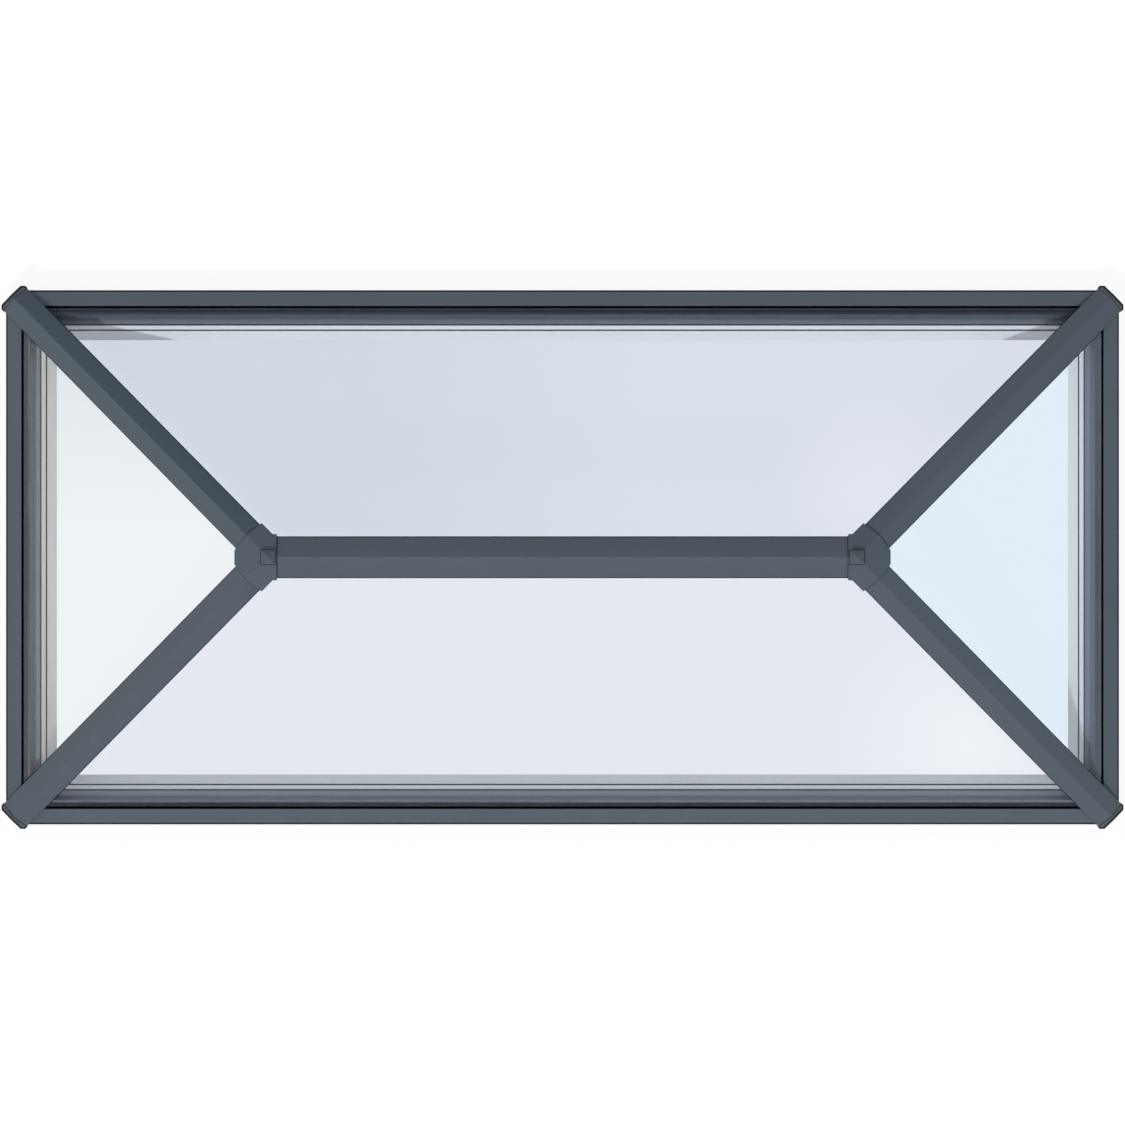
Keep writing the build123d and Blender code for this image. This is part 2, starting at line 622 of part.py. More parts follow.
def at_sides(name, front, left):
    """One node for each side, from the front and left pieces."""
    return {f"{name}_front": front, f"{name}_back": flip_y(front),
            f"{name}_left": left, f"{name}_right": flip_x(left)}


def at_corners(name, piece):
    """One node for each corner, from the front left piece."""
    return {f"{name}_front_left": piece, f"{name}_front_right": flip_x(piece),
            f"{name}_back_left": flip_y(piece), f"{name}_back_right": flip_x(flip_y(piece))}


def at_ridge_ends(name, piece):
    return {f"{name}_left": piece, f"{name}_right": flip_x(piece)}


def loose(*shapes):
    """Pieces that share a node, each kept as its own solid."""
    return Compound([solid for shape in shapes for solid in shape.solids()])


def ring_frame():
    """Outer and inner frame halves, thermal breaks, inner trims and the two eaves gaskets."""
    nodes = {}
    sections = {"frame": outer_frame_section(), "inner_frame": inner_frame_section(),
                "inner_trim": trim_section()}
    cuts = corner_slab(-FAR / 4, CORNER_CUT)
    for name, section in sections.items():
        front, left = side_run("front", section), side_run("left", section)
        if name == "frame":
            front = front - cuts - flip_x(cuts)
            left = left - cuts - flip_y(cuts)
        if name == "inner_frame":
            for hole in screw_holes("front"):
                front -= hole
            for hole in screw_holes("left"):
                left -= hole
        nodes.update(at_sides(name, front, left))
    for name, section, setback in (("thermal_breaks", thermal_break_section(), BREAK_SETBACK),
                                   ("edge_gaskets", edge_gasket_section(), leg_clearance() * sqrt(2))):
        front, left = side_run("front", section, setback), side_run("left", section, setback)
        nodes[name] = loose(front, flip_y(front), left, flip_x(left))
    return nodes


def glazing():
    """Four glass units, each with its spacer frame, and the seals round all four."""
    nodes = {}
    units = {side: glass_unit(side) for side in ("front", "left")}
    for index, name in enumerate(("glass", "spacer")):
        nodes.update(at_sides(name, units["front"][index], units["left"][index]))
    front, left = units["front"][2], units["left"][2]
    nodes["edge_seals"] = loose(front, flip_y(front), left, flip_x(left))
    return nodes


def bars():
    """Hip bars, ridge beam, bosses and the rubber that the glass lies on."""
    nodes = at_corners("hip_bar", hip_bar())
    nodes["ridge_beam"] = ridge_run(bar_section(RIDGE_BAR_HALF, RIDGE_BAR_SIDE, PITCH), BOSS_REACH)
    nodes.update(at_ridge_ends("boss", boss()))
    hip_beds = at_corners("bed", hip_bed_gaskets()).values()
    ridge_beds = ridge_run(bed_gasket_section(RIDGE_BAR_HALF, PITCH), BOSS_REACH)
    bed = eaves_bed_section()
    setback = (HIP_BAR_HALF + COPE_CLEARANCE) * sqrt(2)
    front, left = side_run("front", bed, setback), side_run("left", bed, setback)
    nodes["bed_gaskets"] = loose(front, flip_y(front), left, flip_x(left), ridge_beds, *hip_beds)
    return nodes


def cappings():
    """Hip caps, ridge cap, end caps, hub covers, finials and the rubber under the caps."""
    nodes = at_corners("hip_cap", hip_cap())
    ridge_cap = cap_skin_section(RIDGE_CAP_HALF, PITCH) + cap_leg_section(PITCH)
    nodes["ridge_cap"] = ridge_run(ridge_cap, RIDGE_CAP_STOP)
    nodes.update(at_corners("end_cap", end_cap()))
    nodes.update(at_ridge_ends("hub_cover", hub_cover()))
    nodes.update(at_ridge_ends("finial", finial()))
    hip_strips = at_corners("strip", hip_cap_gaskets()).values()
    ridge_strips = ridge_run(cap_gasket_section(RIDGE_CAP_HALF, PITCH), RIDGE_CAP_STOP)
    nodes["cap_gaskets"] = loose(ridge_strips, *hip_strips)
    return nodes


def main():
    os.makedirs("parts", exist_ok=True)
    for group in (ring_frame(), glazing(), bars(), cappings()):
        for name, shape in group.items():
            export_step(shape, f"parts/{name}.step")


main()
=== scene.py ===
"""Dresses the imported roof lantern: finishes, smooth cappings, floor, light and camera.

Everything is in metres in the part's own frame: +X along the ridge, +Z up, the kerb at height 0.
"""

import json
import logging
import math
from dataclasses import dataclass, field
from enum import Enum
from functools import partial, reduce
from typing import ClassVar, Sequence

import bmesh
import bpy
import numpy as np
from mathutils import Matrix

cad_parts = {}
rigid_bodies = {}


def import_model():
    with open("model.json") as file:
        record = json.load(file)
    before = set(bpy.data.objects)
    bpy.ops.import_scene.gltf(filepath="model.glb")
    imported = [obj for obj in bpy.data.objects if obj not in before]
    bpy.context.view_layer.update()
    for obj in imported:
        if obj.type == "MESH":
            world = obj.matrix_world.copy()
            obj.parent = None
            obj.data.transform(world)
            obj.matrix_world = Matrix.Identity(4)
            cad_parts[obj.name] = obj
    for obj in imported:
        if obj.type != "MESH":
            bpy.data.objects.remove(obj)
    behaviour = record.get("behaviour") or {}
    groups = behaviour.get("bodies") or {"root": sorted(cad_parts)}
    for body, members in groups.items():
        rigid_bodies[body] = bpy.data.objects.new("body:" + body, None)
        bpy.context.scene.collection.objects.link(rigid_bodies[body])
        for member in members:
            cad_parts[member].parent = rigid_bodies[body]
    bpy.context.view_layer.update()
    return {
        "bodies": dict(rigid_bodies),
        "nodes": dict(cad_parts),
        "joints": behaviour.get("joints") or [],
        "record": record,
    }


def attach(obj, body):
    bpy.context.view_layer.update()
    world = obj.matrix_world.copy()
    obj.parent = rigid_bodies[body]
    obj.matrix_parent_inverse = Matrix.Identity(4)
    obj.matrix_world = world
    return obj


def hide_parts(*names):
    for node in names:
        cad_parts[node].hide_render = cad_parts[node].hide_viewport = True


LOG = logging.getLogger("roof_lantern")
MM = 0.001
ROOT_HALF = 1 / math.sqrt(2)
SHARP_GAP = 0.02 * MM
MERGE = 0.002 * MM
SHARP_ANGLE = 35.0
FLAGGED = 0.999
ROLL = 0.4 * MM
WHITE = (1.0, 1.0, 1.0)

Color = tuple[float, float, float]
Pair = tuple[float, float]
Array = np.ndarray
Node = bpy.types.Node
Socket = bpy.types.NodeSocket
Tone = Color | Socket


class Side(Enum):
    """The four sides of the lantern."""

    FRONT = "Front"
    BACK = "Back"
    LEFT = "Left"
    RIGHT = "Right"


class Corner(Enum):
    """The four corners, each with the signs of its X and Y."""

    FRONT_LEFT = (-1, -1)
    FRONT_RIGHT = (1, -1)
    BACK_LEFT = (-1, 1)
    BACK_RIGHT = (1, 1)


class RidgeEnd(Enum):
    """The two ends of the ridge, each with the signs that carry a shape there from the left end."""

    LEFT = (-1, -1)
    RIGHT = (1, -1)


@dataclass(frozen=True)
class RoofSizes:
    """Sizes that the cappings share with the part's source, in metres and radians."""

    length: float = 2.0
    width: float = 0.96
    pitch: float = math.radians(27.5)
    edge_height: float = 52 * MM
    cap_lift: float = 7 * MM
    cap_wall: float = 2.5 * MM
    cap_gasket: float = 3 * MM
    hip_cap_half: float = 29 * MM
    ridge_cap_half: float = 36 * MM
    cap_seam: float = 20 * MM
    hub_wall: float = 3.8 * MM
    stud_hole: float = 5.3 * MM

    @property
    def hip_slope(self) -> float:
        """Slope of a hip line from the level."""
        return math.atan(math.tan(self.pitch) / math.sqrt(2))

    @property
    def hip_cross(self) -> float:
        """Slope of the glass across a section square to the hip."""
        return math.atan(math.sin(self.hip_slope))

    @property
    def apex_x(self) -> float:
        """Distance of each ridge end from the middle."""
        return (self.length - self.width) / 2

    @property
    def apex_z(self) -> float:
        """Height at which the glass planes meet over the ridge."""
        return self.edge_height + self.width / 2 * math.tan(self.pitch)

    @property
    def hip_run(self) -> float:
        """Level length of a hip, from the frame's corner to the apex."""
        return self.width / 2 * math.sqrt(2)

    @property
    def cap_start(self) -> float:
        """Run along a hip of the seam between its cap and its end cap."""
        return self.cap_seam + self.cap_lift / math.cos(self.hip_cross) * math.sin(self.hip_slope)

    @property
    def hub_lift(self) -> float:
        """Height of a hub cover's faces over the glass."""
        return self.cap_lift + self.hub_wall


ROOF = RoofSizes()


# Surfaces


def rounded_loop(corners: Array, radii: Array, steps: int = 5) -> Array:
    """Closed outline whose corners are circular arcs.

    Each arc starts and ends at radius times tan(half the turn) from its corner. Its points are the tangent
    point turned about the arc's centre by equal angles.

    Args:
        corners: Corner points in order, shape (n, 2).
        radii: Radius at each corner, shape (n,).
        steps: Points on each arc.

    Returns:
        Outline points, shape (n * steps, 2).
    """
    back = np.roll(corners, 1, axis=0) - corners
    ahead = np.roll(corners, -1, axis=0) - corners
    back /= np.linalg.norm(back, axis=1, keepdims=True)
    ahead /= np.linalg.norm(ahead, axis=1, keepdims=True)
    turn = math.pi - np.arccos(np.clip((back * ahead).sum(1), -1, 1))
    sign = np.sign(-back[:, 0] * ahead[:, 1] + back[:, 1] * ahead[:, 0])
    reach = radii * np.tan(turn / 2)
    start = corners + back * reach[:, None]
    normal = np.stack([back[:, 1], -back[:, 0]], axis=1) * sign[:, None]
    centre = start + normal * radii[:, None]
    angle = np.linspace(0, 1, steps)[None, :] * (turn * sign)[:, None]
    arm = start - centre
    cos, sin = np.cos(angle), np.sin(angle)
    x = arm[:, :1] * cos - arm[:, 1:] * sin
    y = arm[:, :1] * sin + arm[:, 1:] * cos
    return (np.stack([x, y], axis=2) + centre[:, None, :]).reshape(-1, 2)


def inset_outline(points: Array, distance: Array, least: float = 0.4) -> Array:
    """Moves each point of a closed outline inwards, square to the outline.

    A point moves along the sum of its two edges' inward normals over one plus their dot product, so that
    both edges move by the distance. The outline runs anticlockwise.

    Args:
        points: Outline points, shape (n, 2).
        distance: Distance at each point, shape (n,).
        least: Least divisor, which keeps very sharp corners from running far in.

    Returns:
        Moved points, shape (n, 2).
    """
    edge = np.roll(points, -1, axis=0) - points
    edge /= np.linalg.norm(edge, axis=1, keepdims=True)
    after = np.stack([-edge[:, 1], edge[:, 0]], axis=1)
    before = np.roll(after, 1, axis=0)
    share = 1 + (after * before).sum(axis=1, keepdims=True)
    return points + (after + before) / np.maximum(share, least) * distance[:, None]


def fill_edges(keys: Array, steps: Sequence[int]) -> Array:
    """Closed outline with even steps between its key points.

    Args:
        keys: Key values, shape (n, m); each row is a corner.
        steps: Steps from each key to the next, and from the last to the first.

    Returns:
        Values at all points, shape (sum of steps, m).
    """
    ahead = np.roll(keys, -1, axis=0)
    parts = [keys[i] + (ahead[i] - keys[i]) * np.linspace(0, 1, count, endpoint=False)[:, None]
             for i, count in enumerate(steps)]
    return np.concatenate(parts)


def slope_line(across: Array | float, lift: float, slope: float) -> Array | float:
    """Height of the glass plane in a bar's own section, at a distance across from the bar's middle."""
    return lift / math.cos(slope) - np.abs(across) * math.tan(slope)


def corner_plan(level: Array, across: Array) -> tuple[Array, Array]:
    """X and Y of points given by their level distances along and across the front left diagonal."""
    return (-ROOF.length / 2 + (level - across) * ROOT_HALF,
            -ROOF.width / 2 + (level + across) * ROOT_HALF)


def hip_points(run: float, section: Array, drop: float = 0.0) -> Array:
    """Places a section square to the front left hip.

    The level distance from the corner is the run less height times the sine of the hip's slope.

    Args:
        run: Run along the hip at which the section stands.
        section: Points across and square to the hip, shape (n, 2).
        drop: How far the section is lowered, square to the hip.

    Returns:
        Points, shape (n, 3).
    """
    height = section[:, 1] - drop
    x, y = corner_plan(run - height * math.sin(ROOF.hip_slope), section[:, 0])
    rise = ROOF.edge_height + run * math.tan(ROOF.hip_slope) + height * math.cos(ROOF.hip_slope)
    return np.stack([x, y, rise], axis=-1)


def roof_points(x: Array, y: Array, lift: float, soft: float) -> Array:
    """Points of the roof, raised square to the glass, with its hips and ridge rounded.

    The height is a smooth minimum of the four slopes: minus soft times the logarithm of the sum of
    exp(-height / soft), which falls below the sharp crease by a little and meets the slopes elsewhere.

    Args:
        x: X of each point.
        y: Y of each point.
        lift: Distance square to the glass.
        soft: Size of the rounding.

    Returns:
        Points, shape (n, 3).
    """
    base = ROOF.edge_height + lift / math.cos(ROOF.pitch)
    insets = np.stack([ROOF.width / 2 - y, ROOF.width / 2 + y, ROOF.length / 2 - x, ROOF.length / 2 + x])
    heights = base + insets * math.tan(ROOF.pitch)
    low = heights.min(axis=0)
    return np.stack([x, y, low - soft * np.log(np.exp((low - heights) / soft).sum(axis=0))], axis=1)


def apex_points(plan: Array, lift: float, soft: float = 0.35 * MM) -> Array:
    """Points of a plan round the left apex, raised to a height over the glass."""
    return roof_points(plan[:, 0] - ROOF.apex_x, plan[:, 1], lift, soft)


def ring_faces(rows: int, count: int, closed_rows: bool = False) -> list:
    """Quads between neighbouring rings of a grid whose columns close on themselves.

    Args:
        rows: Number of rings.
        count: Points in each ring.
        closed_rows: Whether the last ring joins the first.

    Returns:
        Faces as tuples of four point numbers.
    """
    row = np.arange(rows if closed_rows else rows - 1)[:, None] * count
    after = (row + count) % (rows * count)
    column = np.arange(count)[None, :]
    step = (column + 1) % count
    quads = np.stack([row + column, row + step, after + step, after + column], axis=2)
    return [tuple(quad) for quad in quads.reshape(-1, 4).tolist()]


def shade(mesh: bpy.types.Mesh) -> None:
    """Shades a mesh smooth, apart from edges that turn by more than the sharp angle."""
    mesh.shade_smooth()
    mesh.set_sharp_from_angle(angle=math.radians(SHARP_ANGLE))


def mesh_object(name: str, points: Array, faces: list) -> bpy.types.Object:
    """Puts points and faces into a new, smoothly shaded object.

    Args:
        name: Name of the object.
        points: Points, shape (n, 3).
        faces: Faces as tuples of point numbers.

    Returns:
        The new object, linked to the scene.
    """
    mesh = bpy.data.meshes.new(name)
    mesh.from_pydata(points.tolist(), [], faces)
    mesh.validate()
    shade(mesh)
    obj = bpy.data.objects.new(name, mesh)
    bpy.context.scene.collection.objects.link(obj)
    return obj


def ring_object(name: str, rings: Sequence[Array], flip: Pair, caps: bool = False,
                loop: bool = False) -> bpy.types.Object:
    """Closed surface through rings of points that share their columns.

    Points that fall together are merged, faces without area dissolved and the others turned outwards.

    Args:
        name: Name of the object.
        rings: Rings in order, each of shape (n, 3), made for the front left corner or the left end.
        flip: Signs of X and Y that carry the shape to its own corner.
        caps: Whether the first and last rings are filled by a face.
        loop: Whether the last ring joins the first.

    Returns:
        The new object.
    """
    grid = np.stack(rings)
    count = grid.shape[1]
    points = grid.reshape(-1, 3) * np.array([-flip[0], -flip[1], 1.0])
    faces = ring_faces(len(rings), count, loop)
    if caps:
        last = (len(rings) - 1) * count
        faces += [tuple(range(count)), tuple(range(last, last + count))]
    obj = mesh_object(name, points, faces)
    work = bmesh.new()
    work.from_mesh(obj.data)
    bmesh.ops.remove_doubles(work, verts=work.verts, dist=MERGE)
    bmesh.ops.dissolve_degenerate(work, edges=work.edges, dist=2 * MERGE)
    bmesh.ops.recalc_face_normals(work, faces=work.faces)
    work.to_mesh(obj.data)
    work.free()
    shade(obj.data)
    return obj


# Shader parts


class Shading:
    """A node tree with short calls that add nodes and join them."""

    def __init__(self, tree: bpy.types.NodeTree) -> None:
        """Keeps the tree and starts to count its nodes."""
        self.tree = tree
        self.count = 0

    def add(self, kind: str, values: dict | None = None, **settings: object) -> Node:
        """Adds a node and sets it out in rows of twelve.

        Args:
            kind: Node type.
            values: What its inputs get, by name or number: an output, a colour or a number.
            settings: Properties of the node.

        Returns:
            The new node.
        """
        node = self.tree.nodes.new(kind)
        node.location = (180 * (self.count % 12), -220 * (self.count // 12))
        self.count += 1
        for key, value in settings.items():
            setattr(node, key, value)
        self.feed(node, values or {})
        return node

    def feed(self, node: Node, values: dict) -> None:
        """Gives a node's inputs their outputs, colours or numbers.

        Args:
            node: The node.
            values: What its inputs get, by name or number.
        """
        for key, value in values.items():
            socket = node.inputs[key]
            if isinstance(value, Socket):
                self.tree.links.new(value, socket)
            else:
                socket.default_value = (*value, 1.0) if socket.type == "RGBA" else value

    def place(self) -> Socket:
        """The place on the object."""
        return self.add("ShaderNodeTexCoord").outputs["Object"]

    def noise(self, scale: object, detail: float, where: Socket, roughness: float = 0.5) -> Socket:
        """Noise of about 0 to 1 at a place, by its cells in a metre, finer levels and their strength."""
        values = {"Scale": scale, "Detail": detail, "Vector": where, "Roughness": roughness}
        return self.add("ShaderNodeTexNoise", values).outputs["Fac"]

    def remap(self, value: Socket, low: float, high: float, start: float = 0.3, end: float = 0.7) -> Socket:
        """Moves a value from the range start to end to the range low to high."""
        ranges = {"From Min": start, "From Max": end, "To Min": low, "To Max": high}
        return self.add("ShaderNodeMapRange", {"Value": value, **ranges}).outputs["Result"]

    def rise(self, value: Socket, start: float, end: float) -> Socket:
        """A share that rises from 0 to 1 while a value goes from the start to the end."""
        return self.remap(value, 0.0, 1.0, start, end)

    def fall(self, value: Socket, start: float, end: float) -> Socket:
        """A share that falls from 1 to 0 while a value goes from the start to the end."""
        return self.remap(value, 1.0, 0.0, start, end)

    def math(self, operation: str, first: object, second: object = 0.0) -> Socket:
        """The result of one of Blender's sums on two outputs or numbers."""
        return self.add("ShaderNodeMath", {0: first, 1: second}, operation=operation).outputs[0]

    def scale(self, vector: object, factor: Socket) -> Socket:
        """A colour or vector times a factor."""
        return self.add("ShaderNodeVectorMath", {0: vector, "Scale": factor}, operation="SCALE").outputs[0]

    def plus(self, first: Socket, second: Socket) -> Socket:
        """The sum of two colours or vectors."""
        return self.add("ShaderNodeVectorMath", {0: first, 1: second}, operation="ADD").outputs[0]

    def blend(self, factor: Socket, first: Tone, second: Tone) -> Socket:
        """Mixes two colours or outputs; the factor is the share of the second."""
        return self.add("ShaderNodeMix", {0: factor, 6: first, 7: second}, data_type="RGBA").outputs[2]

    def bump(self, height: Socket, strength: float, depth: float) -> Socket:
        """Normal of a surface whose height reaches a depth in metres."""
        values = {"Strength": strength, "Distance": depth, "Height": height}
        return self.add("ShaderNodeBump", values).outputs["Normal"]

    def sides(self, tones: dict[Side, Tone] | None = None) -> Node:
        """The node that measures a place from the lantern's sides, with a colour or output for each."""
        values = {side.value: tone for side, tone in (tones or {}).items()}
        return self.add("ShaderNodeGroup", values, node_tree=SideGroup.tree())

    def mix(self, factor: Socket, first: Node, second: Node) -> Node:
        """Mixes two shaders; the factor is the share of the second."""
        return self.add("ShaderNodeMixShader", {0: factor, 1: first.outputs[0], 2: second.outputs[0]})

    def show(self, shader: Node) -> None:
        """Lets the material show a shader."""
        self.feed(self.tree.nodes["Material Output"], {"Surface": shader.outputs[0]})


def scaled(color: Color, factor: float) -> Color:
    """A colour made lighter or darker by a factor."""
    return tuple(min(1.0, part * factor) for part in color)


def new_material(name: str, color: Color = (0.8, 0.8, 0.8),
                 alpha: float = 1.0) -> tuple[bpy.types.Material, Shading, Node]:
    """Makes a material with nodes.

    Args:
        name: Its name.
        color: Its colour in the plain viewport.
        alpha: Its cover there.

    Returns:
        The material, its tree and its shader.
    """
    material = bpy.data.materials.new(name)
    material.use_nodes = True
    material.diffuse_color = (*color, alpha)
    return material, Shading(material.node_tree), material.node_tree.nodes["Principled BSDF"]


class SurfaceGroup:
    """A shader node group, built at its first use.

    Attributes:
        name: Its name.
        inputs: First values of its inputs, by name.
        outputs: Kinds of its outputs, by name.
    """

    name: str
    inputs: dict[str, object]
    outputs: dict[str, str]

    @classmethod
    def tree(cls) -> bpy.types.NodeTree:
        """The group's tree.

        Returns:
            Tree with its inputs and outputs.
        """
        known = bpy.data.node_groups.get(cls.name)
        if known:
            return known
        tree = bpy.data.node_groups.new(cls.name, "ShaderNodeTree")
        for label, value in cls.inputs.items():
            kind = "NodeSocketColor" if isinstance(value, tuple) else "NodeSocketFloat"
            tree.interface.new_socket(label, in_out="INPUT", socket_type=kind).default_value = value
        for label, kind in cls.outputs.items():
            tree.interface.new_socket(label, in_out="OUTPUT", socket_type=f"NodeSocket{kind}")
        net = Shading(tree)
        given = net.add("NodeGroupInput")
        result = net.add("NodeGroupOutput")
        net.feed(result, cls.results(net, given.outputs))
        return tree

    @classmethod
    def results(cls, net: Shading, given: bpy.types.NodeOutputs) -> dict[str, Socket]:
        """What each output shows, by name, made in the tree from the given inputs."""
        raise NotImplementedError


class GrainGroup(SurfaceGroup):
    """Node group: a sprayed or moulded skin with fine grain, slow drift of tone and a little handling.

    Attributes:
        drifting: Cells in a metre and levels of the slow noise.
        marks: The same for the marks of handling.
        shares: Shares of the slow and the fine noise in the drift of tone.
    """

    name = "skin_grain"
    inputs = {"Color": (0.5, 0.5, 0.5, 1.0), "Drift": 0.05, "Grain": 1400.0, "Roughness": 0.5, "Spread": 0.08}
    outputs = {"Color": "Color", "Roughness": "Float", "Height": "Float"}
    drifting = (5.0, 3.0)
    marks = (38.0, 5.0)
    shares = (0.7, 0.3)

    @classmethod
    def results(cls, net: Shading, given: bpy.types.NodeOutputs) -> dict[str, Socket]:
        """Colour times one plus the drift, roughness with the marks, and the fine noise as height."""
        where = net.place()
        slow = net.noise(*cls.drifting, where)
        marks = net.noise(*cls.marks, where)
        fine = net.noise(given["Grain"], 2.0, where, 0.6)
        tone = net.math("ADD", *(net.math("MULTIPLY", net.remap(noise, -1.0, 1.0), share)
                                 for noise, share in zip((slow, fine), cls.shares)))
        gain = net.math("ADD", net.math("MULTIPLY", tone, given["Drift"]), 1.0)
        rough = net.math("MULTIPLY", net.remap(marks, -1.0, 1.0), given["Spread"])
        return {"Color": net.scale(given["Color"], gain), "Height": fine,
                "Roughness": net.math("ADD", rough, given["Roughness"])}


class SideGroup(SurfaceGroup):
    """Node group: distances in from the lantern's sides, and the colour of the side that a place lies on.

    Attributes:
        seam: Half width of the blend between front and back, and between left and right.
        corner_seam: Half width of the blend over a hip.
    """

    name = "lantern_sides"
    inputs = {side.value: (0.5, 0.5, 0.5, 1.0) for side in Side}
    outputs = {"Color": "Color", "End": "Float", "Long Side": "Float", "Inset": "Float", "Height": "Float"}
    seam = 0.1
    corner_seam = 2 * MM

    @classmethod
    def results(cls, net: Shading, given: bpy.types.NodeOutputs) -> dict[str, Socket]:
        """Colour of the place's own side, its height and its level distances in.

        Args:
            net: The group's tree.
            given: The sides' colours.

        Returns:
            What each output shows: the distances are from the nearest end and long side, and the lesser one.
        """
        spot = net.add("ShaderNodeSeparateXYZ", {0: net.place()}).outputs
        end, side = (net.math("SUBTRACT", half, net.math("ABSOLUTE", spot[axis]))
                     for axis, half in (("X", ROOF.length / 2), ("Y", ROOF.width / 2)))
        long, short = (net.blend(net.rise(spot[axis], -cls.seam, cls.seam), given[low], given[high])
                       for axis, low, high in (("Y", "Front", "Back"), ("X", "Left", "Right")))
        near_end = net.rise(net.math("SUBTRACT", side, end), -cls.corner_seam, cls.corner_seam)
        return {"Color": net.blend(near_end, long, short), "End": end, "Long Side": side,
                "Inset": net.math("MINIMUM", end, side), "Height": spot["Z"]}


@dataclass(frozen=True)
class Finish:
    """A surface finish with a fine grain.

    Attributes:
        name: The part's slot that the finish stands for.
        color: Linear colour.
        roughness: Middle roughness.
        spread: How much the roughness drifts.
        drift: How much the tone drifts.
        grain: Grain cells in a metre.
        depth: Depth of the grain in metres.
        specular: Strength of the plain reflection.
        variant: Word that tells the material from others of the same slot.
        strength: Strength of the grain's relief.
    """

    name: str
    color: Color
    roughness: float
    spread: float = 0.05
    drift: float = 0.05
    grain: float = 1400.0
    depth: float = 0.00004
    specular: float = 0.5
    variant: str = ""
    strength: float = 0.6

    @property
    def label(self) -> str:
        """Name of the material."""
        return f"{self.name}{self.variant}_finish"

    def material(self) -> bpy.types.Material:
        """The material, built at its first use.

        Returns:
            Material with the grain group placed in it.
        """
        known = bpy.data.materials.get(self.label)
        if known:
            return known
        material, net, shader = new_material(self.label, self.color)
        values = {"Color": self.color, "Drift": self.drift, "Grain": self.grain,
                  "Roughness": self.roughness, "Spread": self.spread}
        skin = net.add("ShaderNodeGroup", values, node_tree=GrainGroup.tree()).outputs
        net.feed(shader, {"Base Color": self.tone(net, skin["Color"]), "Roughness": skin["Roughness"],
                          "Normal": net.bump(skin["Height"], self.strength, self.depth),
                          "Specular IOR Level": self.specular})
        return material

    def tone(self, net: Shading, color: Socket) -> Socket:
        """The colour that reaches the shader; a plain finish leaves it as it is."""
        return color


@dataclass(frozen=True)
class SideShadedFinish(Finish):
    """A finish with painted light and shade: its colour is lighter or darker on each side of the lantern.

    Attributes:
        sides: Its painted lit and shaded colours on sides where it isn't the plain colour.
    """

    sides: dict[Side, Color] = field(hash=False, default_factory=dict)

    def place(self, net: Shading, color: Socket) -> Node:
        """The group that measures a place, with the painted colour of each side."""
        return net.sides({side: self.sides.get(side, color) for side in Side})

    def tone(self, net: Shading, color: Socket) -> Socket:
        """The colour with painted light and shade by the side of the roof that a place lies on."""
        return self.place(net, color).outputs["Color"]


@dataclass(frozen=True)
class SpacerFinish(SideShadedFinish):
    """Spacer bar with a row of fine breather marks along it, and painted light that differs by side.

    Attributes:
        mark_pitch: Distance between the marks.
        mark_scatter: How far they stray.
        mark_size: Radii between which a mark ends, in pitches.
        mark_cover: Its cover.
        mark_tone: Share of the colour left in it.
    """

    mark_pitch: float = 0.009
    mark_scatter: float = 0.15
    mark_size: Pair = (0.12, 0.22)
    mark_cover: float = 0.25
    mark_tone: float = 0.45

    def tone(self, net: Shading, color: Socket) -> Socket:
        """Darkens the colour in small cells set along the bar.

        Args:
            net: The material's tree.
            color: Colour of the plain bar.

        Returns:
            Colour with the marks.
        """
        values = {"Scale": 1 / self.mark_pitch, "Randomness": self.mark_scatter, "Vector": net.place()}
        cells = net.add("ShaderNodeTexVoronoi", values).outputs["Distance"]
        mark = net.remap(cells, self.mark_cover, 0.0, *self.mark_size)
        return net.blend(mark, super().tone(net, color), scaled(self.color, self.mark_tone))


@dataclass(frozen=True)
class BeamFinish(Finish):
    """Eaves beam: painted shade along its outer arris, painted light and shade on the platform under the
    glass.

    Attributes:
        nose: Insets between which the face gives way to the platform.
        shelf: Insets between which the platform lightens: painted shade near the nose gives way inwards.
        shelf_tones: Its painted lit and shaded colours at those insets, for each side.
        arris: Insets between which the painted shade of the outer arris ends.
        arris_height: Heights between which it starts.
        painted_shade: Share of the colour left in the painted shade.
    """

    nose: Pair = (0.02845, 0.02865)
    shelf: Pair = (0.0435, 0.060)
    shelf_tones: dict[Side, tuple[Color, Color]] = field(hash=False, default_factory=lambda: {
        Side.BACK: ((0.095, 0.1245, 0.147), (0.184, 0.210, 0.243)),
        Side.FRONT: ((0.670, 0.745, 0.860), (0.374, 0.415, 0.471)),
        Side.LEFT: ((0.740, 0.810, 0.850), (0.222, 0.230, 0.228)),
        Side.RIGHT: ((0.275, 0.367, 0.476), (0.193, 0.225, 0.260))})
    arris: Pair = (0.0028, 0.0032)
    arris_height: Pair = (0.046, 0.050)
    painted_shade: float = 0.14

    def tone(self, net: Shading, color: Socket) -> Socket:
        """Swaps the colour by the level distance in from the lantern's nearest side.

        Args:
            net: The material's tree.
            color: Colour of the plain coating.

        Returns:
            Colour with the painted shade of the arris and the platform's painted light and shade.
        """
        # Painted light and shade on the platform: lit and shaded tones for each side, darker near the nose.
        near, far = (net.sides({side: tones[part] for side, tones in self.shelf_tones.items()}).outputs
                     for part in (0, 1))
        inset = near["Inset"]
        shelf = net.blend(net.rise(inset, *self.shelf), near["Color"], far["Color"])
        # Painted shade along the top of the outer arris.
        rim = net.math("MULTIPLY", net.fall(inset, *self.arris), net.rise(near["Height"], *self.arris_height))
        face = net.blend(rim, color, scaled(self.color, self.painted_shade))
        return net.blend(net.rise(inset, *self.nose), face, shelf)


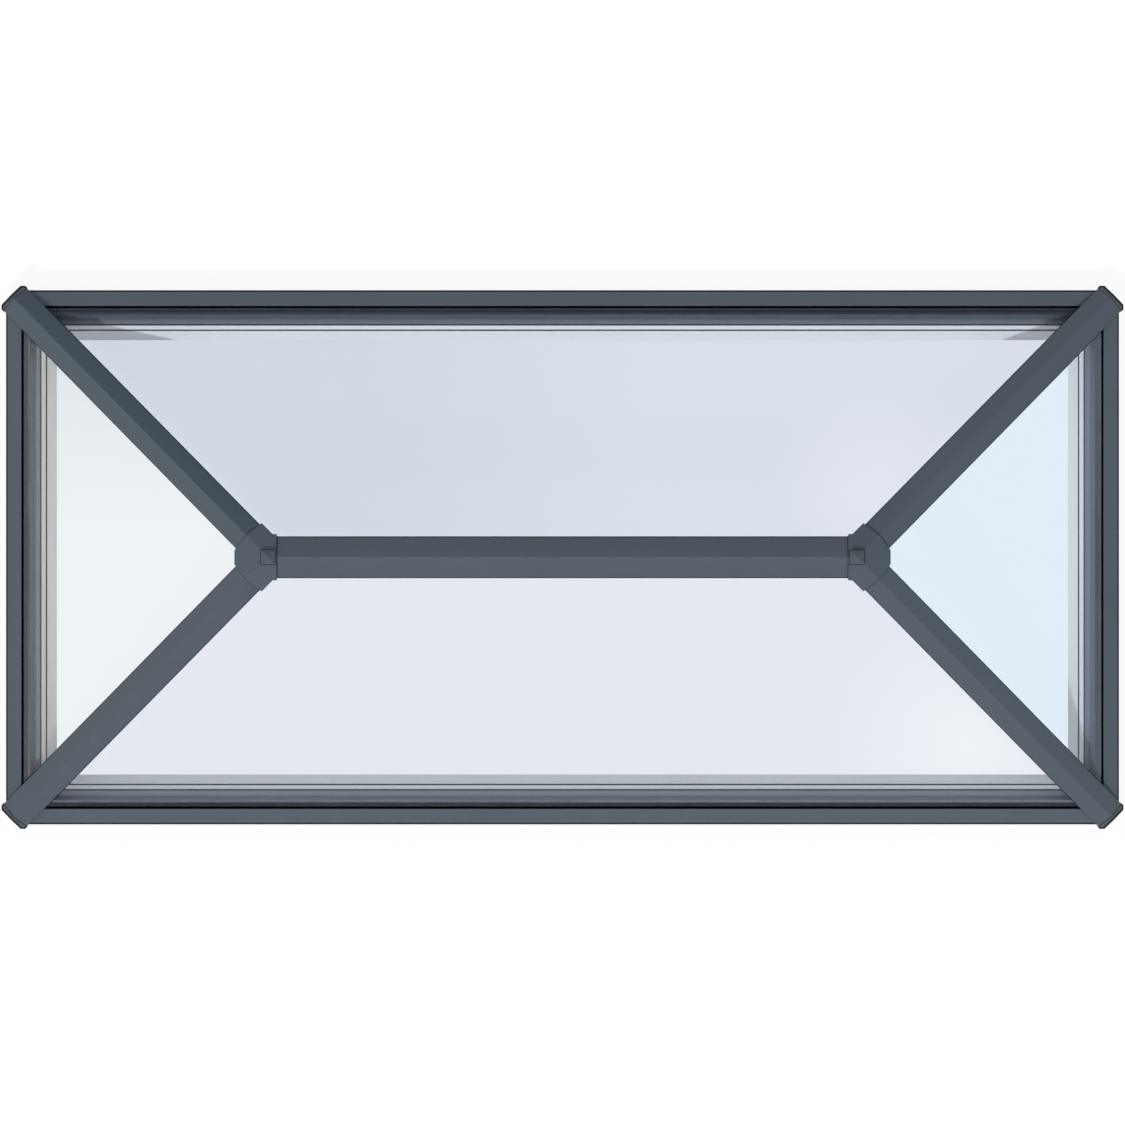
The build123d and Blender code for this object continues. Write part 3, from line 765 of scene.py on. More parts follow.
@dataclass(frozen=True)
class EndCapFinish(Finish):
    """Coating of an end cap, with a line of painted shade along its outline and painted shade fading in from
    its front.

    Attributes:
        half: Half of the cap's width.
        front: Level distance of its front from the lantern's corner.
        clip: Size of its clipped corners.
        line: Distances in from the outline between which the line of painted shade ends.
        front_shade: Distances in from the front between which the front's painted shade ends.
        height: Heights between which the painted shade starts.
        painted_shade: Share of the colour left in the line.
        shade: Share of the colour left at the start of the front's painted shade.
    """

    half: float = 0.030
    front: float = 0.0126
    clip: float = 0.006
    line: Pair = (0.0028, 0.0032)
    front_shade: Pair = (0.0030, 0.0066)
    height: Pair = (0.046, 0.052)
    painted_shade: float = 0.02
    shade: float = 0.35

    def tone(self, net: Shading, color: Socket) -> Socket:
        """Paints shade into the colour by the distance in from the cap's outline seen from above.

        Args:
            net: The material's tree.
            color: Colour of the plain coating.

        Returns:
            Colour with the painted shade of the line and of the front.
        """
        place = net.sides().outputs
        diagonal, aside = (net.math("MULTIPLY", net.math(way, place["End"], place["Long Side"]), ROOT_HALF)
                           for way in ("ADD", "SUBTRACT"))
        level = net.math("SUBTRACT", diagonal, self.front)
        margin = net.math("SUBTRACT", self.half, net.math("ABSOLUTE", aside))
        corner = net.math("SUBTRACT", net.math("ADD", level, margin), self.clip)
        inner = net.math("MINIMUM", level, margin)
        depth = net.math("MINIMUM", inner, net.math("MULTIPLY", corner, ROOT_HALF))
        high = net.rise(place["Height"], *self.height)
        # Painted shade: a line along the outline and a shade fading in from the front, both near the top.
        line, front_shade = (net.math("MULTIPLY", net.fall(distance, *limits), high)
                      for distance, limits in ((depth, self.line), (level, self.front_shade)))
        face = net.blend(front_shade, color, scaled(self.color, self.shade))
        return net.blend(line, face, scaled(self.color, self.painted_shade))


@dataclass(frozen=True)
class InnerFrameFinish(SideShadedFinish):
    """Pale coating of the frame's inner half: painted light and shade by side, painted shade in the trim's
    joint.

    Attributes:
        joint: Level distance of the joint in from the frame's outer face.
        joint_width: Distances from its middle between which the shade ends.
        painted_shade: Share of the colour left in the joint's painted shade.
    """

    joint: float = 0.0728
    joint_width: Pair = (0.0010, 0.0015)
    painted_shade: float = 0.10

    def tone(self, net: Shading, color: Socket) -> Socket:
        """Paints shade into the colour in the joint between the box and the trim.

        Args:
            net: The material's tree.
            color: Colour of the plain coating.

        Returns:
            Colour with its side's painted light and shade and the joint's painted shade.
        """
        place = self.place(net, color).outputs
        # Painted shade in the joint, over the side's painted light and shade.
        away = net.math("ABSOLUTE", net.math("SUBTRACT", place["Inset"], self.joint))
        return net.blend(net.fall(away, *self.joint_width), place["Color"], scaled(self.color, self.painted_shade))


@dataclass(frozen=True)
class ClearGlass:
    """Float glass with a slight tint, a faint roller wave and a breath of film.

    Attributes:
        name: The part's slot that the finish stands for.
        color: Tint of what is seen through one pane.
        shade: Share of the light that passes each face on its way to what is below.
        index: Its index of refraction.
        film: Cells in a metre and levels of the film.
        film_roughness: Roughness where the film is thickest.
        wave: Depth of the roller wave in metres.
        wave_scale: Its cells in a metre.
        wave_strength: Strength of its relief.
        cover: Its cover in the plain viewport.
    """

    name: str
    color: Color
    shade: Color
    index: float = 1.5
    film: Pair = (9.0, 4.0)
    film_roughness: float = 0.004
    wave: float = 0.000003
    wave_scale: float = 3.2
    wave_strength: float = 0.4
    cover: float = 0.3

    def material(self) -> bpy.types.Material:
        """The material, built at its first use.

        Light and bounced light pass straight through the glass, dimmed a little; what the camera sees is
        refracted and reflected.

        Returns:
            Glass material.
        """
        known = bpy.data.materials.get(f"{self.name}_finish")
        if known:
            return known
        material, net, shader = new_material(f"{self.name}_finish", self.color, self.cover)
        where = net.place()
        relief = net.bump(net.noise(self.wave_scale, 0.0, where), self.wave_strength, self.wave)
        net.feed(shader, {"Base Color": self.color, "Transmission Weight": 1.0, "IOR": self.index,
                          "Roughness": net.remap(net.noise(*self.film, where), 0.0, self.film_roughness),
                          "Normal": relief})
        path = net.add("ShaderNodeLightPath").outputs
        passing = net.math("MAXIMUM", path["Is Shadow Ray"], path["Is Diffuse Ray"])
        net.show(net.mix(passing, shader, net.add("ShaderNodeBsdfTransparent", {"Color": self.shade})))
        return material


ANTHRACITE = {"name": "anthracite_coating", "color": (0.081, 0.101, 0.124), "roughness": 0.7,
              "grain": 1500.0, "specular": 0.25}
PALE = {"name": "white_coating", "color": (0.877, 0.895, 0.905), "roughness": 0.45, "drift": 0.02,
        "grain": 1500.0, "depth": 0.00003, "specular": 0.4}


@dataclass(frozen=True)
class Finishes:
    """All finishes of the lantern."""

    anthracite: Finish = Finish(**ANTHRACITE)
    # Painted shade and light: the left hips' back faces darker and their left faces lighter than the plain
    # coating.
    shaded_left_hips: Finish = SideShadedFinish(**ANTHRACITE, variant="_hip", sides={
        Side.BACK: (0.060, 0.082, 0.106), Side.LEFT: (0.085, 0.105, 0.128)})
    beam: Finish = BeamFinish(**ANTHRACITE, variant="_beam")
    end_cap: Finish = EndCapFinish(**ANTHRACITE, variant="_end")
    white: Finish = Finish(**PALE)
    # Painted light and shade: the inner frame's left and front sides have their own lit and shaded tones.
    inner_frame: Finish = InnerFrameFinish(**PALE, variant="_frame", sides={
        Side.LEFT: (0.900, 0.860, 0.805), Side.FRONT: (0.930, 0.945, 0.950)})
    break_plastic: Finish = Finish("break_plastic", (0.03, 0.03, 0.034), 0.6, 0.08, 0.15, 900.0, 0.00005)
    rubber: Finish = Finish("gasket_rubber", (0.003, 0.004, 0.006), 0.75, 0.08, 0.2, 800.0, 0.00005, 0.06)
    # Painted light and reflection: the seal is lighter on its back, left and right sides than on its front.
    seal: Finish = SideShadedFinish(
        "seal_rubber", (0.014, 0.016, 0.023), 0.6, 0.08, 0.06, 900.0, 0.00002, 0.2,
        sides={Side.BACK: (0.034, 0.038, 0.051), Side.LEFT: (0.075, 0.079, 0.087),
               Side.RIGHT: (0.111, 0.142, 0.180)})
    # Painted light: the spacer is lighter on its front, left and right sides.
    spacer: Finish = SpacerFinish(
        "spacer_foam", (0.053, 0.074, 0.105), 0.6, 0.06, 0.04, 1200.0, 0.00002, 0.3,
        sides={Side.FRONT: (0.161, 0.199, 0.252), Side.LEFT: (0.144, 0.162, 0.178),
               Side.RIGHT: (0.100, 0.141, 0.190)})
    glass: ClearGlass = ClearGlass("glass", (0.93, 0.955, 0.985), (0.98, 0.982, 0.985))


FINISHES = Finishes()


# Sub-assemblies


def node_names(stem: str, places: type[Enum]) -> list[str]:
    """Names of the nodes of a kind, one for each side, corner or end."""
    return [f"{stem}_{place.name.lower()}" for place in places]


@dataclass
class Dresser:
    """Gives carried-over nodes their finishes, and puts new pieces on the lantern's body.

    Attributes:
        frame: The lantern as it was loaded.
        dressed: Names of the nodes that have a finish or a new piece.
    """

    frame: dict
    dressed: set = field(default_factory=set)

    def dress(self, names: Sequence[str], finish: Finish | ClearGlass) -> None:
        """Gives nodes of the part a finish.

        Args:
            names: Names of the nodes.
            finish: Finish for all their material slots.
        """
        for name in names:
            for slot in self.frame["nodes"][name].material_slots:
                slot.material = finish.material()
            self.dressed.add(name)
        LOG.info("%d nodes dressed as %s", len(names), finish.name)

    def add(self, piece: bpy.types.Object, finish: Finish, node: str) -> None:
        """Finishes a new piece, and lets it stand for a node.

        Args:
            piece: The new piece.
            finish: Its finish.
            node: Node that it replaces.
        """
        piece.data.materials.append(finish.material())
        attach(piece, "root")
        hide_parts(node)
        self.dressed.add(node)
        LOG.info("%s made in %d points", piece.name, len(piece.data.vertices))

    def stand(self, stem: str, word: str, places: type[Enum], rings: Sequence[Array], finish: Finish,
              left: Finish | None = None, **closing: bool) -> None:
        """Makes one shape for each node of a kind, and lets it stand for that node.

        Args:
            stem: Common part of the nodes' names.
            word: Last word of the new pieces' names.
            places: The corners or the ends of the ridge.
            rings: Rings of the shape, for the front left corner or the left end.
            finish: Finish of the pieces.
            left: Finish of those on the left, where it isn't the same, such as one with painted shade.
            closing: How ring_object closes the shape.
        """
        for place, node in zip(places, node_names(stem, places)):
            own = left if left and node.endswith("left") else finish
            self.add(ring_object(f"{node}_{word}", rings, place.value, **closing), own, node)


@dataclass
class RingFrame:
    """Outer and inner frame halves, thermal breaks, trims and eaves gaskets."""

    def build(self, dresser: Dresser) -> None:
        """Dresses the frame's nodes."""
        dresser.dress(node_names("frame", Side), FINISHES.beam)
        pale = node_names("inner_frame", Side) + node_names("inner_trim", Side)
        dresser.dress(pale, FINISHES.inner_frame)
        dresser.dress(["thermal_breaks"], FINISHES.break_plastic)
        dresser.dress(["edge_gaskets", "bed_gaskets", "cap_gaskets"], FINISHES.rubber)


@dataclass
class Glazing:
    """Sealed glass units, with their spacers and edge seals."""

    def build(self, dresser: Dresser) -> None:
        """Dresses the glazing's nodes."""
        dresser.dress(node_names("glass", Side), FINISHES.glass)
        dresser.dress(node_names("spacer", Side), FINISHES.spacer)
        dresser.dress(["edge_seals"], FINISHES.seal)


@dataclass
class Bars:
    """Hip bars, ridge beam and bosses under the glass."""

    def build(self, dresser: Dresser) -> None:
        """Dresses the bars' nodes."""
        bars = [*node_names("hip_bar", Corner), "ridge_beam", *node_names("boss", RidgeEnd)]
        dresser.dress(bars, FINISHES.white)


@dataclass
class BarCap:
    """Pressed capping over a hip or the ridge: two faces, edge lips and two legs.

    Attributes:
        half: Half of its width.
        slope: Slope of its faces across the bar.
        legs: Level distances of a leg's two faces from the middle.
        leg_length: How far the legs reach below the skin.
        swage: Depth of the fine step where the cap dives under a hub cover.
        swage_width: How far the step shows beyond the hub cover.
        swage_run: Length of its slope.
        radii: Radii of the crest, the upper edges, the lips, the inside corners and the legs.
        arc: Points on each rounded corner of the section.
        count: Sections along the plain middle.
    """

    half: float
    slope: float
    legs: Pair = (4.8 * MM, 6.8 * MM)
    leg_length: float = 5 * MM
    swage: float = 2.6 * MM
    swage_width: float = 1.5 * MM
    swage_run: float = 0.3 * MM
    radii: tuple[float, ...] = (1.2 * MM, 1.6 * MM, 0.3 * MM, 0.4 * MM, 0.08 * MM)
    arc: int = 6
    count: int = 9

    def section(self, leg_length: float) -> Array:
        """Outline across the bar, with its corners rounded.

        Args:
            leg_length: Length of the legs here.

        Returns:
            Points across and square to the bar, shape (n, 2).
        """
        line = partial(slope_line, slope=self.slope)
        inner = self.half - ROOF.cap_wall
        top, gasket, under = ROOF.cap_lift, ROOF.cap_gasket, ROOF.cap_lift - ROOF.cap_wall
        near, far = self.legs
        foot = line(near, under) - leg_length
        crest, edge, lip, inside, leg = self.radii
        right = [(0, line(0, top), crest), (self.half, line(self.half, top), edge),
                 (self.half, line(self.half, gasket), lip), (inner, line(inner, gasket), lip),
                 (inner, line(inner, under), inside), (far, line(far, under), leg), (far, foot, leg),
                 (near, foot, leg), (near, line(near, under), leg), (0, line(0, under), inside)]
        left = [(-x, y, radius) for x, y, radius in right[-2:0:-1]]
        corners = np.array(right + left)[::-1]
        return rounded_loop(corners[:, :2], corners[:, 2], self.arc)


@dataclass
class HipCaps(BarCap):
    """The four hip cappings, from under the end cap to under the hub cover.

    Attributes:
        seam: Width of the fine seam at the end cap.
        tongue: How far the lowered end reaches under the end cap.
        tongue_drop: How far that end is lowered.
        tongue_inset: How much narrower it is on each side.
        top: Level distance from the apex to the upper end.
        leg_start: Run where the legs start.
        stub: Length of the legs before that.
        turn: Run of the turns at the seam and at the start of the legs.
    """

    half: float = ROOF.hip_cap_half
    slope: float = ROOF.hip_cross
    seam: float = 1.0 * MM
    tongue: float = 3.0 * MM
    tongue_drop: float = 2.2 * MM
    tongue_inset: float = 1.9 * MM
    top: float = 38 * MM
    leg_start: float = 47.3 * MM
    stub: float = 0.4 * MM
    turn: float = 0.05 * MM

    def build(self, dresser: Dresser) -> None:
        """Sweeps the section along the hip, the legs growing out at their start."""
        start = ROOF.cap_start + self.seam
        step = HubCovers().arm_stop - self.swage_width
        tongue = BarCap(self.half - self.tongue_inset, self.slope).section(self.stub)
        rings = [hip_points(run, tongue, self.tongue_drop) for run in (start - self.tongue, start)]
        middle = np.linspace(self.leg_start, step - self.swage_run, self.count)
        for run in (start + self.turn, self.leg_start - self.turn, *middle, step, ROOF.hip_run - self.top):
            outline = self.section(self.leg_length if run >= self.leg_start else self.stub)
            rings.append(hip_points(run, outline, self.swage if run >= step else 0.0))
        # The left hips take the finish with painted shade and light.
        dresser.stand("hip_cap", "shell", Corner, rings, FINISHES.anthracite, FINISHES.shaded_left_hips, caps=True)


@dataclass
class RidgeCap(BarCap):
    """The ridge capping between the two hub covers.

    Attributes:
        half: Half of its width, a little less than in the source, as its edges are rolled.
        stop: Level distance of its ends from the apexes.
    """

    half: float = ROOF.ridge_cap_half - ROLL
    slope: float = ROOF.pitch
    stop: float = 6 * MM

    def build(self, dresser: Dresser) -> None:
        """Sweeps the section along the ridge."""
        outline = self.section(self.leg_length)
        reach = ROOF.apex_x - self.stop
        step = ROOF.apex_x - HubCovers().ridge_reach - self.swage_width
        middle = np.linspace(-step + self.swage_run, step - self.swage_run, self.count)
        rings = [np.column_stack([np.full(len(outline), x), outline[:, 0],
                                  ROOF.apex_z + outline[:, 1] - (self.swage if abs(x) >= step else 0.0)])
                 for x in (-reach, -step, *middle, step, reach)]
        shell = ring_object("ridge_cap_shell", rings, RidgeEnd.LEFT.value, caps=True)
        dresser.add(shell, FINISHES.anthracite, "ridge_cap")


class RoofShell:
    """A moulded shell that follows the roof's planes, with walls that leave its ends open.

    Attributes:
        steps: Steps from each key point of its outline to the next.
        open_keys: 1 at the key points of the open ends, and 0 at the others.
        turns: Rings over its rolled edge.
    """

    steps: ClassVar[Sequence[int]]
    open_keys: ClassVar[Sequence[int]]
    turns: ClassVar[int]

    def flags(self, keys: Sequence[int]) -> Array:
        """Whether each point of the outline lies between key points that are marked 1."""
        return fill_edges(np.array(keys, dtype=float)[:, None], self.steps)[:, 0] > FLAGGED

    def outer(self, lift: float) -> Array:
        """Plan of the outer face at a height over the glass."""
        raise NotImplementedError

    def on_roof(self, plan: Array, lift: float) -> Array:
        """Points of a plan, raised to a height over the glass."""
        raise NotImplementedError

    def rolled(self, lift: float, size: Array) -> list[Array]:
        """Rings over the rolled edge, which is a quarter of an ellipse.

        Args:
            lift: Height of the top over the glass.
            size: Level width and depth of the edge at each point, shape (n, 2).

        Returns:
            Rings from the top to the wall.
        """
        rings = []
        for turn in np.linspace(0, math.pi / 2, self.turns):
            ring = self.on_roof(inset_outline(self.outer(lift), size[:, 0] * (1 - math.sin(turn))), lift)
            ring[:, 2] -= size[:, 1] * (1 - math.cos(turn))
            rings.append(ring)
        return rings

    def wall_ring(self, plan: Array, lift: float, under: float) -> Array:
        """Ring of a wall, which stays at the top's underside along the open ends.

        Args:
            plan: Plan of the ring.
            lift: Its height over the glass.
            under: Height of the underside over the glass.

        Returns:
            Points of the ring.
        """
        opened = self.flags(self.open_keys)
        where = np.where(opened[:, None], self.outer(under), plan)
        ring = self.on_roof(where, lift)
        ring[opened, 2] = self.on_roof(where, under)[opened, 2]
        return ring


@dataclass
class EndCaps(RoofShell):
    """Moulded caps over the feet of the hips, each with a plate down the frame's cut corner.

    Attributes:
        half: Half of the head's width.
        face: Level distance of the front face from the frame's corner.
        clip: Size of the clipped corners in plan.
        wall: Thickness.
        lift: Height of the top faces over the glass.
        rim: Level width and depth of the rolled front edge.
        side_rim: Radius of the rolled side edges.
        seam_rim: Radius of the edge along the seam.
        plate_half: Half of the plate's width.
        spine: Level distance of the top's middle line from the corner, and how much it grows across.
        spine_half: Half of that line's width.
        spine_share: How far the line is drawn out to the outline.
        soft: Size of the rounding over the hip.
    """

    half: float = 30 * MM
    face: float = 12.6 * MM
    clip: float = 6 * MM
    wall: float = 2.4 * MM
    lift: float = 8 * MM
    rim: Pair = (5.0 * MM, 4.4 * MM)
    side_rim: float = 1.0 * MM
    seam_rim: float = 0.35 * MM
    plate_half: float = 17 * MM
    spine: Pair = (17.2 * MM, 0.12)
    spine_half: float = 24 * MM
    spine_share: float = 0.03
    soft: float = 0.25 * MM

    steps = (8, 1, 3, 3, 3, 2, 1, 8, 8, 1, 2, 3, 3, 3, 1, 8)
    open_keys = (0,) * 7 + (1,) * 3 + (0,) * 6
    plate_keys = (1,) * 2 + (0,) * 13 + (1,)
    turns = 7

    def keys(self, half: float, face: float, lift: float, spots: Sequence[float]) -> Array:
        """Key points of the plan, anticlockwise from the middle of the front.

        The seam is square to the sloping hip, so its level distance from the corner is the cap's start
        less the height times the sine of the hip's slope.

        Args:
            half: Half of the width.
            face: Level distance of the front.
            lift: Height over the glass, which sets the seam.
            spots: Distances across of the key points along the seam, from the right to the left.

        Returns:
            Points along and across the diagonal, shape (n, 2).
        """
        shoulder, near = face + self.clip, half - self.clip
        plate = min(self.plate_half, near)
        front = [(face, 0.0), (face, -plate), (face, -plate - SHARP_GAP), (face, -near), (shoulder, -half)]
        across = np.array(spots)
        level = ROOF.cap_start - slope_line(across, lift, ROOF.hip_cross) * math.sin(ROOF.hip_slope)
        back = [(level, -across) for level, across in front[:0:-1]]
        return np.concatenate([front, np.stack([level, across], axis=1), back])

    def outer(self, lift: float) -> Array:
        """Plan of the outer face, with key points beside the inner face's corners."""
        inner = self.half - self.wall
        spots = (-self.half, -inner - SHARP_GAP, -inner, 0.0, inner, inner + SHARP_GAP, self.half)
        return fill_edges(self.keys(self.half, self.face, lift, spots), self.steps)

    def inner(self, lift: float) -> Array:
        """Plan of the inner face at a height over the glass."""
        half = self.half - self.wall
        spots = (-half,) * 3 + (0.0,) + (half,) * 3
        return fill_edges(self.keys(half, self.face + self.wall, lift, spots), self.steps)

    def on_roof(self, plan: Array, lift: float) -> Array:
        """Points of a plan along and across the diagonal, raised to a height over the glass."""
        return roof_points(*corner_plan(plan[:, 0], plan[:, 1]), lift, self.soft)

    def rings(self) -> list[Array]:
        """Rings from the crest out over the rolled edge, down the walls and back up inside."""
        under, gasket = self.lift - self.wall, ROOF.cap_gasket
        side, seam = (self.side_rim,) * 2, (self.seam_rim,) * 2
        sizes = [self.rim] * 4 + [side] + [seam] * 7 + [side] + [self.rim] * 3
        size = fill_edges(np.array(sizes), self.steps)
        top = self.outer(self.lift)
        across = np.clip(top[:, 1], -self.spine_half, self.spine_half)
        spine = np.stack([self.spine[0] + self.spine[1] * np.abs(across), across], axis=1)
        spine += (top - spine) * self.spine_share
        feet = [self.wall_ring(plan, gasket, under) for plan in (self.outer(gasket), self.inner(gasket))]
        for ring in feet:
            ring[self.flags(self.plate_keys), 2] = 0.0
        return [self.on_roof(spine, self.lift), *self.rolled(self.lift, size), *feet,
                self.wall_ring(self.inner(under), under, under), self.on_roof(spine, under)]

    def build(self, dresser: Dresser) -> None:
        """Makes the four caps."""
        dresser.stand("end_cap", "shell", Corner, self.rings(), FINISHES.end_cap, caps=True)


@dataclass
class HubCovers(RoofShell):
    """Faceted covers over the ridge ends, open where the caps pass under them.

    Attributes:
        half: Half of a hip arm's width.
        ridge_half: Half of the ridge arm's width.
        reach: Level distance from the apex to the lower corners of a hip arm.
        ridge_reach: The same for the ridge arm.
        foot: Gap between the walls and the glass.
        rim: Radius of the upper edges.
        groove: Half widths of the square groove round the finial's foot.
        groove_depth: Its depth.
        crease: Distance of key points from the crest of an arm.
        corner_play: How far the inner corner of an arm stays clear of its end.
        front: Width of the front's middle facet, as a share of that between the arms' corners.
        boss: Radius of the thick middle underneath, in stud holes.
    """

    half: float = 34 * MM
    ridge_half: float = 41 * MM
    reach: float = 51.6 * MM
    ridge_reach: float = 14.7 * MM
    foot: float = 0.6 * MM
    rim: float = 0.8 * MM
    groove: Pair = (12.1 * MM, 13.6 * MM)
    groove_depth: float = 2.0 * MM
    crease: float = 1.2 * MM
    corner_play: float = 0.25 * MM
    front: float = 0.9
    boss: float = 2.0

    half_steps = (1, 4, 3, 1, 1, 1, 8, 1, 1, 6, 1, 1, 6, 1, 1, 1)
    steps = half_steps + (6,) + half_steps[::-1]
    half_open = (1,) * 4 + (0,) * 5 + (1,) * 5 + (0,) * 3
    open_keys = half_open + half_open[:0:-1]
    turns = 5

    @property
    def arm_stop(self) -> float:
        """Run along a hip of the plane that cuts off an arm, square to the sloping hip."""
        edge = slope_line(self.half, ROOF.hub_lift, ROOF.hip_cross)
        return ROOF.hip_run - self.reach + edge * math.sin(ROOF.hip_slope)

    def arm_end(self, across: float, lift: float) -> Pair:
        """Plan point on the back left arm's end, which is cut square to the sloping hip.

        Args:
            across: Distance from the hip, towards the end of the lantern.
            lift: Height over the glass.

        Returns:
            X and Y from the apex.
        """
        height = slope_line(across, lift, ROOF.hip_cross)
        level = ROOF.hip_run - self.arm_stop + height * math.sin(ROOF.hip_slope)
        return -(level + across) / math.sqrt(2), (level - across) / math.sqrt(2)

    def keys(self, drawn_in: float, lift: float) -> Array:
        """Key points of the plan, anticlockwise from the ridge, at a height over the glass.

        Args:
            drawn_in: How far the walls are drawn in from the outer faces; the open ends stay.
            lift: Height over the glass.

        Returns:
            X and Y from the apex, shape (n, 2).
        """
        half, ridge = self.half - drawn_in, self.ridge_half - drawn_in
        inner_ridge, inner_half = self.ridge_half - ROOF.hub_wall, self.half - ROOF.hub_wall
        front = (self.reach + self.half) / math.sqrt(2)
        last = (front - ROOF.hub_wall) * math.sqrt(2) - self.reach - self.corner_play
        gap, outer_last = (SHARP_GAP, self.half) if drawn_in == 0 else (0.0, last)
        ends = [self.arm_end(across, lift)
                for across in (-half, -inner_half - gap, -inner_half, -self.crease, 0.0, self.crease, last,
                               last + gap, outer_last)]
        mouth = [(self.ridge_reach, y)
                 for y in (0.0, self.crease, self.ridge_reach, inner_ridge, inner_ridge + gap, ridge)]
        upper = [*mouth, (math.sqrt(2) * half - ridge, ridge), *ends,
                 (-front + drawn_in, ends[-1][1] * self.front)]
        return np.array(upper + [(x, -y) for x, y in upper[:0:-1]])

    def outer(self, lift: float) -> Array:
        """Plan of the outer face at a height over the glass."""
        return fill_edges(self.keys(0.0, lift), self.steps)

    def on_roof(self, plan: Array, lift: float) -> Array:
        """Points of a plan round the left apex, raised to a height over the glass."""
        return apex_points(plan, lift)

    def rings(self) -> list[Array]:
        """Rings from the stud hole out over the top, down the walls and back inside."""
        top, under = ROOF.hub_lift, ROOF.cap_lift
        plan = self.outer(top)
        circle = plan / np.linalg.norm(plan, axis=1, keepdims=True) * ROOF.stud_hole
        square = plan / np.abs(plan).max(axis=1, keepdims=True)
        near, far = self.groove
        low = top - self.groove_depth
        seat = ((circle, top), (square * near, top), (square * near, low), (square * far, low),
                (square * far, top))
        inner = {lift: fill_edges(self.keys(ROOF.hub_wall, lift), self.steps) for lift in (self.foot, under)}
        walls = ((self.outer(self.foot), self.foot), (inner[self.foot], self.foot), (inner[under], under))
        return [*(self.on_roof(where, lift) for where, lift in seat),
                *self.rolled(top, np.full((len(plan), 2), self.rim)),
                *(self.wall_ring(where, lift, under) for where, lift in walls),
                self.on_roof(circle * self.boss, under), self.on_roof(circle, under)]

    def build(self, dresser: Dresser) -> None:
        """Makes the two covers."""
        dresser.stand("hub_cover", "shell", RidgeEnd, self.rings(), FINISHES.anthracite, loop=True)


@dataclass
class Finials:
    """Square blocks with low pyramid tops, shaped underneath to the hub covers.

    Attributes:
        half: Half of the width.
        side: Height of the upright sides over the hub's crest.
        point: Height of the pyramid.
        rim: Radius of the edge between them.
        recess: Depth of the stud's hole over the hub's crest.
        corner: Radius of the upright corners.
        tip: Width and height of the two rings at the blunt point, as shares of the block's.
        arc: Points on each upright corner.
        steps: Steps between the points of a corner and on to the next one.
        turns: Rings over the rolled edge.
    """

    half: float = 12.5 * MM
    side: float = 0.6 * MM
    point: float = 8.6 * MM
    rim: float = 1.3 * MM
    recess: float = 2.3 * MM
    corner: float = 0.9 * MM
    tip: tuple[Pair, Pair] = ((0.004, 0.985), (0.05, 0.95))
    arc: int = 5
    steps: tuple[int, ...] = (1, 1, 1, 1, 14) * 4
    turns: int = 6

    def rings(self) -> list[Array]:
        """Rings from the point down over the rolled edge to the foot, and up into the stud's hole."""
        corners = np.array([(1.0, -1.0), (1.0, 1.0), (-1.0, 1.0), (-1.0, -1.0)]) * self.half
        square = fill_edges(rounded_loop(corners, np.full(len(corners), self.corner), self.arc), self.steps)
        circle = square / np.linalg.norm(square, axis=1, keepdims=True) * ROOF.stud_hole
        crest = ROOF.apex_z + ROOF.hub_lift / math.cos(ROOF.pitch)
        edge = crest + self.side
        rings = [self.level(square * width, edge + self.point * height - gap)
                 for (width, height), gap in zip(self.tip, (0.0, SHARP_GAP))]
        pitch = math.atan2(self.point, self.half)
        reach = self.rim * math.tan((math.pi / 2 - pitch) / 2)
        for turn in np.linspace(pitch, math.pi / 2, self.turns):
            size = self.half - self.rim * (1 - math.sin(turn))
            rings.append(self.level(square * (size / self.half), edge - reach + self.rim * math.cos(turn)))
        feet = [apex_points(outline, ROOF.hub_lift) for outline in (square, circle)]
        return [*rings, *feet, self.level(circle, crest + self.recess)]

    def level(self, plan: Array, height: float) -> Array:
        """Points of a plan round the left apex at one height."""
        return np.column_stack([plan[:, 0] - ROOF.apex_x, plan[:, 1], np.full(len(plan), height)])

    def build(self, dresser: Dresser) -> None:
        """Makes the two finials."""
        dresser.stand("finial", "block", RidgeEnd, self.rings(), FINISHES.anthracite, caps=True)


